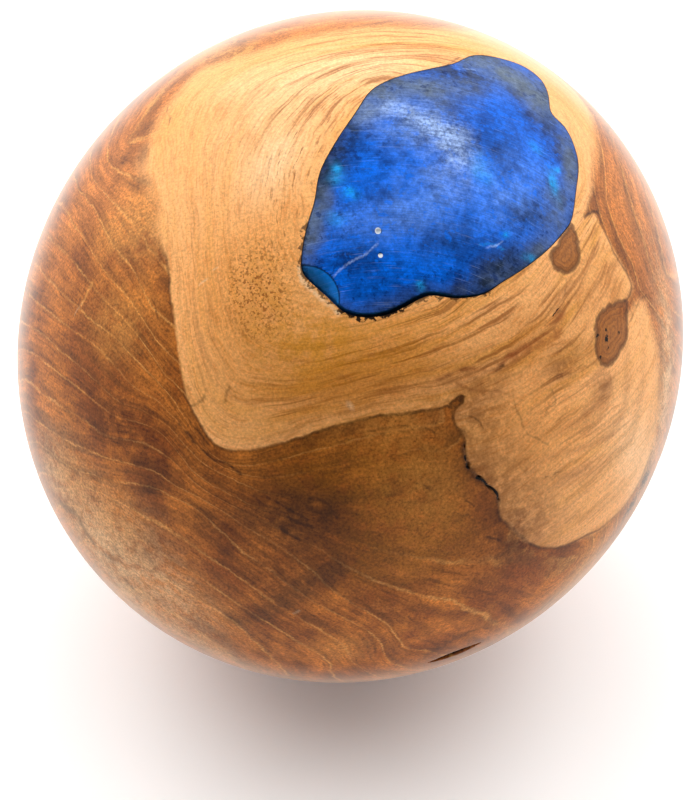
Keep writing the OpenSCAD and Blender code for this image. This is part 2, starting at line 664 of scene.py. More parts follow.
# Lines that the fibres of the pale wood follow, by their distance in millimetres from its left edge
FIBRE_LINES: Figure = {
    0: (
        (450, 29), (400, 27), (350, 29), (300, 38), (245, 55), (190, 78), (160, 117), (150, 160),
        (157, 210), (166, 260), (173, 309), (180, 365), (195, 412), (215, 437), (250, 441), (300, 428),
        (346, 415), (400, 406), (440, 398), (480, 385), (520, 365), (555, 345), (580, 320), (600, 290),
    ),
    4: (
        (470, 44), (420, 37), (360, 38), (310, 46), (262, 58), (222, 76), (196, 100), (186, 140),
        (184, 190), (188, 240), (193, 290), (200, 340), (214, 385), (240, 410), (290, 404), (340, 390),
        (400, 376), (450, 362), (490, 345), (530, 318), (556, 285), (575, 262), (590, 238), (598, 215),
    ),
    8: (
        (430, 46), (380, 47), (330, 54), (280, 68), (240, 92), (216, 125), (208, 170), (208, 220),
        (212, 270), (222, 320), (245, 362), (290, 372), (340, 362), (400, 345), (450, 325), (490, 302),
        (520, 280),
    ),
    12: (
        (430, 54), (390, 56), (340, 64), (295, 84), (260, 115), (240, 150), (232, 200), (234, 250),
        (245, 300), (275, 338), (330, 338), (390, 326), (440, 310),
    ),
    16: (
        (410, 60), (370, 66), (330, 80), (295, 108), (270, 140), (256, 190), (256, 240), (270, 290),
        (300, 318),
    ),
    20: ((385, 69), (345, 85), (312, 118), (290, 160), (280, 210), (285, 260)),
    10: ((560, 105), (580, 140), (586, 175), (581, 208)),
    -4: ((505, 420), (540, 395), (580, 372), (610, 350)),
    -9: ((510, 465), (545, 435), (585, 405), (615, 380), (640, 350)),
    -14: ((520, 505), (555, 475), (595, 445), (630, 415), (652, 385)),
}

# Outlines of the two closed knots beside the inlay
KNOT_OUTLINES: tuple[Path, ...] = (
    (
        (571, 225), (577, 240), (579, 256), (575, 267), (566, 272), (556, 267), (551, 257), (557, 247),
        (564, 236),
    ),
    (
        (626, 302), (616, 303), (606, 309), (599, 317), (595, 326), (597, 334), (596, 348), (598, 358),
        (605, 364), (613, 361), (620, 351), (626, 339), (627, 327), (626, 315), (627, 306),
    ),
)

# Through the dark spots of the larger knot
KNOT_SPOTS: Path = ((614, 312), (611, 330), (606, 352))

# The drying crack at the heart of the figure
CRACK_PATH: Path = (
    (464, 446), (465, 457), (471, 471), (482, 480), (492, 490), (498, 499),
)

# Where the seam beside the resin is open and crumbly
SEAM_PATH: Path = (
    (305, 226), (303, 245), (301, 262), (305, 279), (316, 291), (328, 302), (340, 312), (352, 317),
    (366, 318), (380, 316), (392, 312), (402, 307), (412, 302), (424, 298), (440, 298), (458, 299),
    (472, 298), (486, 294),
)

# Colours of the wood, by tint
WOOD_STREAKS: tuple[Streak, ...] = (
    *streaks(
        Tint.CRUMB,
        (2, 0.75, SEAM_PATH), (2, 0.9, ((345, 314), (358, 319), (374, 318), (392, 313), (402, 308))),
    ),
    *streaks(
        Tint.HALO,
        (0.7, 0.6, ((299, 268), (303, 281), (314, 292), (326, 303), (338, 314))),
    ),
    *streaks(
        Tint.DARK,
        (0.3, 0.5, ((463, 431), (466, 438), (464, 447))),
        (0.9, 0.55, ((463, 444), (466, 460), (472, 472), (484, 482), (495, 494), (499, 503))),
        (0.6, 0.6, (
            (498, 499), (499, 509), (500, 517), (509, 525), (517, 535), (527, 542), (546, 548), (563, 546),
            (581, 538), (600, 529),
        )),
        (0.8, 0.35, ((600, 529), (620, 511), (638, 485), (651, 453))),
        (0.35, 0.7, ((466, 501), (474, 507), (482, 514))),
        (0.45, 0.7, ((487, 537), (494, 538), (500, 541))), (0.4, 0.8, ((495, 371), (499, 369), (503, 366))),
        (0.3, 0.5, ((559, 313), (563, 300), (566, 285), (566, 275))),
        (0.3, 0.5, ((456, 415), (470, 417), (478, 421), (484, 428))),
        (0.35, 0.35, ((512, 394), (518, 409), (522, 420), (526, 432), (537, 438), (549, 444))),
        (0.3, 0.4, ((552, 390), (556, 403), (547, 411), (543, 422))),
        (0.3, 0.5, ((362, 432), (390, 428), (415, 427), (432, 430), (437, 438))),
        (0.4, 0.6, ((546, 477), (556, 474), (565, 471))), (0.4, 0.7, ((425, 484), (430, 489))),
        (0.5, 0.7, ((584, 217), (590, 213), (597, 213))),
        (0.5, 0.6, (
            (597, 213), (603, 228), (609, 240), (615, 253), (622, 265), (629, 278), (632, 287), (629, 297),
            (624, 302),
        )),
        (0.4, 0.5, ((645, 297), (640, 302), (634, 311), (630, 322))),
        (0.5, 0.75, ((179, 424), (192, 440), (202, 451), (213, 459), (230, 466), (240, 474))),
        (0.45, 0.65, ((182, 409), (192, 424), (203, 438), (209, 445))),
        (0.4, 0.55, ((240, 475), (250, 470), (263, 468))),
        (0.35, 0.5, ((152, 300), (158, 317), (169, 331))),
        (0.25, 0.55, ((167, 108), (169, 120), (169, 133))),
        (0.4, 0.5, ((204, 657), (237, 665), (273, 675))),
        (1.2, 0.4, ((39, 442), (58, 459), (74, 469), (87, 474), (112, 481))),
        (0.35, 0.5, ((437, 69), (448, 64), (460, 58))), (1.4, 0.45, ((421, 660), (451, 640), (492, 623))),
        (4, 0.5, ((234, 619), (262, 614), (286, 597), (314, 582), (338, 569))),
        (0.5, 0.4, ((88, 282), (83, 292), (79, 303))), (0.6, 0.4, ((229, 388), (226, 395), (225, 403))),
        (0.5, 0.45, ((203, 395), (198, 402), (192, 405))), (1.5, 0.55, ((62, 505), (74, 511))),
        (1.4, 0.5, ((80, 520), (86, 532), (94, 543))), (1.3, 0.45, ((105, 555), (113, 559), (121, 562))),
        (1.3, 0.45, ((125, 579), (132, 588))), (1.1, 0.4, ((116, 549), (120, 556))),
        (1.1, 0.35, ((145, 553), (154, 565))), (0.6, 0.7, ((266, 497), (290, 508), (305, 518))),
        (0.5, 0.6, ((281, 512), (298, 521), (312, 526))), (0.7, 0.7, ((280, 527), (288, 533), (298, 539))),
        (0.5, 0.5, ((310, 498), (324, 502), (338, 519))), (0.5, 0.5, ((252, 497), (262, 503), (270, 511))),
    ),
    *streaks(
        Tint.BLACK,
        (0.35, 0.7, ((465, 456), (467, 463), (470, 470))),
        (0.45, 0.7, ((478, 477), (486, 483), (490, 486))), (0.5, 0.8, ((491, 488), (494, 492), (497, 498))),
        (0.3, 0.8, ((554, 316), (558, 309))),
    ),
    *streaks(
        Tint.RED,
        (0.6, 0.8, ((430, 384), (447, 377), (466, 370), (484, 371), (495, 370), (503, 364), (511, 356))),
        (1.6, 0.7, ((511, 357), (525, 351), (540, 345), (552, 337), (558, 325), (560, 312))),
        (0.5, 0.6, ((458, 384), (474, 389), (495, 390), (513, 392))),
    ),
    *streaks(
        Tint.GLOW,
        (0.7, 1, ((92, 284), (88, 292), (84, 300), (82, 304))),
    ),
    *streaks(
        Tint.LIGHT,
        (0.3, 0.25, ((82, 304), (78, 309), (75, 314))), (0.25, 0.45, ((200, 285), (210, 274), (219, 265))),
        (0.4, 0.2, ((293, 613), (300, 610))),
    ),
)

WOOD_STAINS: tuple[Stain, ...] = (
    *stains(
        Tint.VEIN,
        (410, 412, 13, 4, 8, 1), (462, 412, 2.5, 4.5, 0, 1), (310, 434, 8, 3, 15, 0.8),
        (200, 424, 4, 6, 40, 0.7), (166, 275, 2, 6, 0, 0.6),
    ),
    *stains(
        Tint.DARK,
        (296, 505, 5, 3, -15, 0.5), (330, 512, 4, 3, 0, 0.5), (283, 530, 4, 2, -30, 0.4),
        (245, 518, 2.5, 1.5, -20, 0.5), (152, 487, 2, 1.2, 0, 0.7), (205, 525, 3, 1.5, -35, 0.5),
        (228, 551, 1.5, 1, 0, 0.5), (342, 462, 2, 1.2, 0, 0.4), (186, 641, 2, 1.5, 0, 0.4),
        (392, 560, 2.5, 1.5, 20, 0.35), (507, 566, 4, 2, 0, 0.3), (144, 153, 0.7, 2.5, 0, 0.55),
        (140, 183, 2, 1, -40, 0.6), (126, 158, 1.2, 1, 0, 0.5), (147, 128, 2.5, 1, 50, 0.3),
    ),
    *stains(
        Tint.BLACK,
        (645, 480, 2, 2.2, 0, 0.6), (631, 507, 2, 2, 0, 0.55), (606, 340, 0.45, 0.5, 0, 0.85),
        (619, 332, 0.3, 0.3, 0, 0.8), (605, 331, 0.3, 0.3, 0, 0.7), (597, 336, 0.3, 0.3, 0, 0.6),
        (608, 349, 0.3, 0.3, 0, 0.6), (600, 356, 0.3, 0.3, 0, 0.6), (349, 402, 0.3, 0.2, 0, 0.8),
    ),
    *stains(
        Tint.LIGHT,
        (350, 405, 0.3, 0.25, 0, 0.9),
    ),
    *stains(
        Tint.OLIVE,
        (400, 495, 13, 9, 0, 0.9), (445, 525, 9, 8, 0, 0.7), (350, 470, 9, 4, 0, 0.5),
        (370, 565, 10, 5, 0, 0.6), (300, 490, 8, 5, 0, 0.5),
    ),
    *stains(
        Tint.RED,
        (481, 500, 2, 4.5, 20, 0.7), (440, 418, 3, 1.5, 0, 0.5), (520, 565, 8, 5, 0, 0.5),
    ),
    *stains(
        Tint.YELLOW,
        (315, 341, 7, 4.5, 15, 0.9), (268, 288, 4.5, 7, 0, 0.5), (400, 350, 6, 3, 15, 0.35),
    ),
    # Greyish tan wood; the long strip at (667, 380), along the right edge of the ball, is a painted
    # highlight
    *stains(
        Tint.TAN,
        (108, 548, 9, 9, -40, 0.95), (130, 600, 7, 7, -40, 0.8), (58, 475, 6, 7, -20, 0.7),
        (170, 590, 8, 5, -40, 0.6), (575, 585, 9, 5, 40, 0.7), (667, 380, 3.5, 16, 0, 0.9),
        (200, 643, 8, 5, -35, 0.6),
    ),
    *stains(
        Tint.DOTS,
        (266, 288, 4, 6.5, 10, 1), (246, 296, 2, 4.5, 10, 1),
    ),
    *stains(
        Tint.GRAIN,
        (330, 85, 12, 10, 30, 1), (420, 45, 12, 8, 0, 1), (480, 330, 12, 6, 20, 1),
        (400, 360, 14, 6, 10, 0.9), (560, 320, 7, 8, 40, 0.8), (590, 240, 4, 8, 40, 0.9),
        (590, 440, 9, 12, 40, 0.55), (300, 400, 9, 5, 10, 0.5), (200, 290, 4.5, 16, 0, 0.4),
        (563, 366, 4, 3, 30, 0.9),
    ),
    *stains(
        Tint.PORES,
        (300, 150, 3.5, 9, -25, 1), (280, 225, 3, 6, -10, 0.8), (350, 90, 6, 4, 30, 0.6),
    ),
    *stains(
        Tint.AMBER,
        (335, 385, 10, 4.5, 8, 0.9), (395, 370, 8, 4, 12, 0.6), (250, 330, 5, 7, 0, 0.35),
        (530, 335, 5, 3.5, 25, 0.6), (585, 300, 3.5, 5, 40, 0.4), (611, 284, 2.5, 4.5, 30, 0.6),
        (249, 137, 1, 2.6, 15, 0.35), (224, 111, 3, 2, 20, 0.25),
    ),
    *stains(
        Tint.GOLDEN,
        (585, 450, 10, 12, 30, 1), (620, 400, 8, 12, 30, 1),
    ),
    *stains(
        Tint.SOFT,
        (150, 140, 9, 9, 0, 1), (152, 205, 4, 7, 0, 0.7), (260, 45, 16, 10, 20, 1), (400, 25, 20, 12, 0, 1),
        (650, 400, 8, 14, 0, 1), (600, 525, 7, 4, 40, 0.6), (600, 150, 6, 8, 0, 0.7),
    ),
    *stains(
        Tint.WARM,
        (110, 170, 10, 15, -30, 1), (200, 60, 14, 10, 30, 0.9), (350, 18, 26, 16, 0, 1),
        (630, 200, 11, 18, 20, 1),
    ),
    *stains(
        # Painted highlights, where the light falls brightest on the top of the sapwood and along the right
        # edge of the ball
        Tint.PALE,
        (300, 85, 9, 5, 35, 0.8), (370, 68, 9, 4, 10, 0.9), (274, 160, 3.5, 6, -25, 0.9),
        (240, 85, 6, 4, 40, 0.4), (635, 450, 5, 9, 30, 0.9),
    ),
    *stains(
        Tint.ORANGE,
        (168, 128, 3, 6, -20, 0.9), (223, 112, 3.5, 3, 20, 0.7), (190, 140, 5, 9, 0, 0.6),
        (230, 290, 8, 10, 0, 0.6), (270, 225, 5, 5, 0, 0.5), (380, 345, 12, 5, 10, 0.5),
        (530, 430, 9, 9, 0, 0.6),
    ),
    *stains(
        Tint.SHADE,
        (120, 424, 9, 5.5, -30, 1), (224, 525, 4, 3, -30, 0.5), (175, 455, 5, 3, -35, 0.5),
        (60, 425, 4, 6, -20, 0.4), (83, 258, 3, 4, 20, 0.5), (42, 302, 3, 7, 0, 0.7),
        (60, 335, 4, 4, 0, 0.5), (290, 520, 8, 6, -20, 0.8), (278, 575, 7, 4, 30, 0.8),
        (318, 622, 5, 4, 0, 0.6), (475, 475, 2.5, 5, 35, 0.7), (478, 418, 5, 6, 0, 0.7),
        (515, 530, 6, 5, 0, 1), (470, 382, 6, 2, 5, 0.5), (563, 366, 3.2, 2.2, 30, 0.9),
        (604, 388, 2.4, 1.5, 20, 0.8), (515, 480, 5, 5, 0, 0.5), (632, 205, 1, 3, 20, 0.4),
        (648, 258, 2, 3, 0, 0.5), (661, 368, 0.9, 7, 0, 0.6),
    ),
    *stains(
        Tint.GLOW,
        (118, 325, 5, 5, 20, 0.7), (112, 235, 4, 4, 20, 0.5), (140, 222, 3.5, 6, 20, 0.8),
        (390, 425, 9, 2.5, 5, 0.4), (430, 480, 7, 7, 0, 0.4), (72, 475, 4, 5, 0, 0.6),
        (120, 525, 6, 4, -35, 0.5), (575, 578, 6, 4, 30, 0.7), (592, 550, 5, 3.5, 40, 0.7),
        (345, 648, 4, 3, 0, 0.5),
    ),
    *stains(
        Tint.PLAIN,
        (405, 500, 13, 10, 0, 0.95), (330, 505, 8, 6, 0, 0.7), (520, 580, 9, 7, 0, 0.7),
    ),
)

# Colours of the resin, by tint
RESIN_STREAKS: tuple[Streak, ...] = (
    *streaks(
        Tint.CRUMB,
        (2, 0.5, SEAM_PATH),
    ),
    # A painted highlight of the overhead light (the first two), and pale scratches (the rest)
    *streaks(
        Tint.HAZE,
        (3.6, 0.55, ((392, 108), (412, 114), (434, 127), (450, 142), (458, 155))),
        (8, 0.25, ((375, 112), (405, 117), (430, 132), (448, 152), (455, 175))),
        (0.25, 0.65, ((333, 277), (340, 270), (352, 261), (366, 254), (378, 243))),
        (0.25, 0.8, ((487, 247), (495, 246), (502, 242))), (0.25, 0.5, ((458, 69), (468, 69), (476, 70))),
    ),
    *streaks(
        Tint.CYAN,
        (0.3, 0.4, ((480, 245), (490, 244), (498, 246), (503, 250))),
    ),
)

RESIN_STAINS: tuple[Stain, ...] = (
    *stains(
        Tint.BUBBLE,
        (378, 230.5, 0.4, 0.4, 0, 1), (380.5, 255.5, 0.3, 0.3, 0, 1),
    ),
    # A painted highlight of the overhead light
    *stains(
        Tint.HAZE,
        (453, 145, 2.2, 3.4, 25, 0.9), (447, 125, 2.4, 2.6, 0, 0.5),
    ),
    *stains(
        Tint.CYAN,
        (336, 168, 0.8, 0.7, 0, 0.9), (336, 179, 1.1, 1, 0, 0.5), (353, 194, 0.8, 0.8, 0, 0.7),
        (334, 217, 1.2, 0.8, 0, 0.4), (552, 184, 0.7, 1.8, 10, 1), (556, 171, 0.5, 0.6, 0, 0.8),
        (508, 238, 0.6, 0.5, 0, 1), (421, 287, 0.5, 0.6, 0, 0.9), (530, 258, 0.8, 0.5, 20, 0.7),
        (480, 168, 1.2, 2, 20, 0.5), (538, 148, 0.8, 0.8, 0, 0.5),
    ),
    *stains(
        Tint.AZURE,
        (502, 104, 3, 2.4, -10, 1), (463, 104, 2, 2.2, 0, 0.7), (512, 125, 4, 4, 0, 0.5),
        (478, 220, 3, 5.5, 10, 0.7), (392, 243, 3.5, 2.2, 15, 1), (482, 185, 2, 5, 10, 1),
        (510, 242, 3, 2, 10, 0.8), (532, 165, 4, 4, 0, 0.8), (372, 165, 5, 4, 0, 0.8),
        (353, 200, 3, 4, 0, 0.8), (355, 285, 4, 2.5, 0, 0.7), (430, 262, 5, 2.5, 0, 0.5),
        (395, 290, 6, 2, 10, 0.6),
    ),
    *stains(
        Tint.VIOLET,
        (428, 195, 4.5, 5, 0, 0.85), (400, 218, 4, 2.5, 0, 0.8), (400, 132, 4, 3, 0, 0.6),
        (528, 182, 5, 6, 0, 0.6), (500, 198, 4, 5, 0, 0.9), (350, 222, 4, 2.5, 0, 0.5),
    ),
    *stains(
        Tint.DEEP,
        (507, 266, 4, 2.2, 28, 0.95), (478, 286, 1.6, 2, 0, 0.9), (334, 155, 3, 6, -30, 1),
        (450, 240, 3, 2, 10, 0.6), (321, 183, 1, 3, -15, 0.6), (360, 293, 3, 1.5, 10, 0.35),
        (520, 113, 2, 1.6, 0, 0.5), (502, 140, 2.2, 2, 0, 0.5), (352, 128, 2, 1.6, 30, 0.8),
        (548, 124, 1.6, 3, 0, 0.7), (400, 299, 5, 0.8, 12, 0.25), (445, 292, 6, 0.8, 0, 0.3),
        (368, 250, 3, 2, 20, 0.4), (466, 200, 0.9, 6, 5, 0.35), (486, 133, 1, 3, 20, 0.3),
        (525, 215, 3, 2, 20, 0.4),
    ),
    # Grey blue near the edge; along the top edge it is a painted glare of the white surroundings
    *stains(
        Tint.SLATE,
        (505, 74, 8, 4.5, -12, 1), (538, 100, 2.6, 5, 20, 0.9), (425, 88, 8, 2.8, 15, 0.9),
        (440, 103, 4, 2, 0, 0.25), (570, 165, 1.6, 7, 0, 0.8), (316, 210, 1.8, 7, -15, 0.9),
        (366, 106, 4, 2, 45, 0.8), (540, 245, 3, 1.6, 40, 0.6), (500, 274, 4, 1.8, 25, 0.8),
        (555, 210, 2, 4, 0, 0.6),
    ),
)


class Pen:
    """Draws shader nodes into one tree and hands back the sockets that they put out."""

    def __init__(self, tree: bpy.types.NodeTree) -> None:
        """Takes up the tree.

        Args:
            tree: The tree to draw in.
        """
        self.tree = tree

    def feed(self, value: Feed, socket: Socket) -> None:
        """Links a socket, or sets a constant, to an input.

        Args:
            value: The socket or the constant.
            socket: The input.
        """
        if isinstance(value, Socket):
            self.tree.links.new(value, socket)
        else:
            socket.default_value = value

    def node(
        self, kind: str, feeds: Mapping[str | int, Feed] | None = None, **settings: object
    ) -> bpy.types.Node:
        """Adds a node.

        Args:
            kind: Blender's name of its type.
            feeds: What its inputs take.
            settings: What its settings are.

        Returns:
            The node.
        """
        made = self.tree.nodes.new(kind)
        for name, setting in settings.items():
            setattr(made, name, setting)
        for key, value in (feeds or {}).items():
            self.feed(value, made.inputs[key])
        return made

    def place(self) -> Socket:
        """Object coordinates."""
        return self.node("ShaderNodeTexCoord").outputs["Object"]

    def number(self, name: Field | Tint) -> Socket:
        """A field or tint of the mesh."""
        return self.node("ShaderNodeAttribute", attribute_name=name.value).outputs["Fac"]

    def math(self, operation: str, *values: Feed) -> Socket:
        """Arithmetic, by Blender's name of the operation."""
        return self.node("ShaderNodeMath", dict(enumerate(values)), operation=operation).outputs[0]

    def add(self, first: Feed, second: Feed) -> Socket:
        """Sum of two values."""
        return self.math("ADD", first, second)

    def times(self, *values: Feed) -> Socket:
        """Product of two or more values.

        Args:
            values: The values.

        Returns:
            Their product.
        """
        product = values[0]
        for value in values[1:]:
            product = self.math("MULTIPLY", product, value)
        return product

    def step(self, value: Feed, low: float, high: float, bottom: float = 0.0, top: float = 1.0) -> Socket:
        """Smooth rise between two values; low may be the larger one.

        Args:
            value: The value.
            low: Where the result is bottom.
            high: Where the result is top.
            bottom: Result at low.
            top: Result at high.

        Returns:
            The result.
        """
        if low > high:
            low, high, bottom, top = high, low, top, bottom
        feeds = {"Value": value, "From Min": low, "From Max": high, "To Min": bottom, "To Max": top}
        return self.node("ShaderNodeMapRange", feeds, interpolation_type="SMOOTHSTEP").outputs["Result"]

    def mix(self, share: Feed, first: Feed, second: Feed, blend: str = "MIX") -> Socket:
        """Mixes two colours.

        Args:
            share: Share of the second.
            first: The first colour.
            second: The second colour.
            blend: Blender's name of the way to mix.

        Returns:
            The mixed colour.
        """
        feeds = {0: share, 6: first, 7: second}
        return self.node("ShaderNodeMix", feeds, data_type="RGBA", blend_type=blend).outputs[2]

    def lay(self, share: Feed, base: Feed, text: str, blend: str = "MIX") -> Socket:
        """Mixes a share of a written colour into a base."""
        return self.mix(share, base, colour(text), blend)

    def scaled(self, base: Feed, factor: Feed) -> Socket:
        """A colour made lighter or darker, or coordinates made larger or smaller, by a factor."""
        return self.node("ShaderNodeVectorMath", {0: base, "Scale": factor}, operation="SCALE").outputs[0]

    def cloud(self, place: Feed, size_mm: float, detail: float = 2.0, rough: float = 0.5) -> Socket:
        """Soft noise between 0 and 1.

        Args:
            place: Coordinates.
            size_mm: Size of its largest features.
            detail: Number of finer layers.
            rough: Strength of the finer layers.

        Returns:
            The noise.
        """
        feeds = {"Vector": place, "Scale": 1 / (size_mm * MM), "Detail": detail, "Roughness": rough}
        return self.node("ShaderNodeTexNoise", feeds).outputs[0]

    def ripple(self, place: Feed, size_mm: float, detail: float = 2.0, rough: float = 0.5) -> Socket:
        """Soft noise about 0, told as for a cloud."""
        return self.add(self.cloud(place, size_mm, detail, rough), -0.5)

    def group(self, tree: bpy.types.NodeTree, feeds: Mapping[str | int, Feed]) -> Socket:
        """First output of a shared effect, from its tree and what its inputs take."""
        return self.node("ShaderNodeGroup", feeds, node_tree=tree).outputs[0]

    def relief(self, shader: bpy.types.Node, height: Feed, strength: float, distance: float) -> None:
        """Gives a shader a fine relief.

        Args:
            shader: The shader.
            height: The relief, between 0 and 1.
            strength: Its strength.
            distance: Its height.
        """
        bump = self.node("ShaderNodeBump", {"Height": height, "Strength": strength, "Distance": distance})
        self.feed(bump.outputs["Normal"], shader.inputs["Normal"])


class SharedEffects:
    """Effects that the wood and the resin both use, each made once."""

    def __init__(self) -> None:
        """Makes the effects."""
        self.streaks = self._streaks()
        self.speckle = self._speckle()

    def drawn_out(self, pen: Pen, place: Feed, across: Feed, fineness: float, length_mm: float) -> Socket:
        """Noise between 0 and 1, drawn out along the lines on which a number stays the same.

        Args:
            pen: Pen of the material.
            place: Object coordinates.
            across: The number.
            fineness: How many streaks fit into 1.
            length_mm: Length of the streaks.

        Returns:
            The noise.
        """
        feeds = {"Place": place, "Across": across, "Fineness": fineness, "Length": length_mm}
        return pen.group(self.streaks, feeds)

    def grain(self, pen: Pen, place: Feed, strength: Feed) -> Socket:
        """Fine grain on a surface, as a factor near 1."""
        return pen.group(self.speckle, {"Place": place, "Strength": strength})

    @staticmethod
    def _new(name: str, *numbers: str) -> tuple[bpy.types.NodeTree, Pen, bpy.types.Node, Socket]:
        """Starts an effect that takes coordinates and numbers, and gives one number.

        Args:
            name: Its name.
            numbers: Names of the numbers that it takes.

        Returns:
            Its tree, a pen for it, its input node and the socket that takes its result.
        """
        tree = bpy.data.node_groups.new(name, "ShaderNodeTree")
        tree.interface.new_socket("Place", in_out="INPUT", socket_type="NodeSocketVector")
        for label in numbers:
            tree.interface.new_socket(label, in_out="INPUT", socket_type="NodeSocketFloat")
        tree.interface.new_socket("Value", in_out="OUTPUT", socket_type="NodeSocketFloat")
        pen = Pen(tree)
        return tree, pen, pen.node("NodeGroupInput"), pen.node("NodeGroupOutput").inputs[0]

    def _streaks(self) -> bpy.types.NodeTree:
        """Makes the drawn-out noise.

        Returns:
            Its tree.
        """
        tree, pen, taken, result = self._new("streaks", "Across", "Fineness", "Length")
        place = pen.scaled(taken.outputs["Place"], pen.math("DIVIDE", 1 / MM, taken.outputs["Length"]))
        across = pen.times(taken.outputs["Across"], taken.outputs["Fineness"])
        feeds = {"Vector": place, "W": across, "Scale": 1.0, "Detail": 2.0, "Roughness": 0.55}
        pen.feed(pen.node("ShaderNodeTexNoise", feeds, noise_dimensions="4D").outputs[0], result)
        return tree

    def _speckle(self) -> bpy.types.NodeTree:
        """Makes the fine grain.

        Returns:
            Its tree.
        """
        tree, pen, taken, result = self._new("speckle", "Strength")
        fine = pen.ripple(taken.outputs["Place"], 0.35, 3.0, 0.7)
        pen.feed(pen.add(pen.times(fine, taken.outputs["Strength"]), 1.0), result)
        return tree


def colour(text: str) -> tuple[float, float, float, float]:
    """A colour for a shader.

    Args:
        text: The colour as it looks, as six hexadecimal digits.

    Returns:
        Its linear red, green and blue, and 1.
    """
    parts = [int(text[i:i + 2], 16) / 255 for i in (0, 2, 4)]
    return (*[p / 12.92 if p <= 0.04045 else ((p + 0.055) / 1.055) ** 2.4 for p in parts], 1.0)


def new_material(name: str) -> tuple[bpy.types.Material, Pen, bpy.types.Node]:
    """An empty material with its shader.

    Args:
        name: Its name.

    Returns:
        The material, a pen for its nodes and its shader.
    """
    material = bpy.data.materials.new(name)
    material.use_nodes = True
    material.node_tree.nodes.clear()
    pen = Pen(material.node_tree)
    shader = pen.node("ShaderNodeBsdfPrincipled")
    output = pen.node("ShaderNodeOutputMaterial")
    pen.feed(shader.outputs["BSDF"], output.inputs["Surface"])
    return material, pen, shader


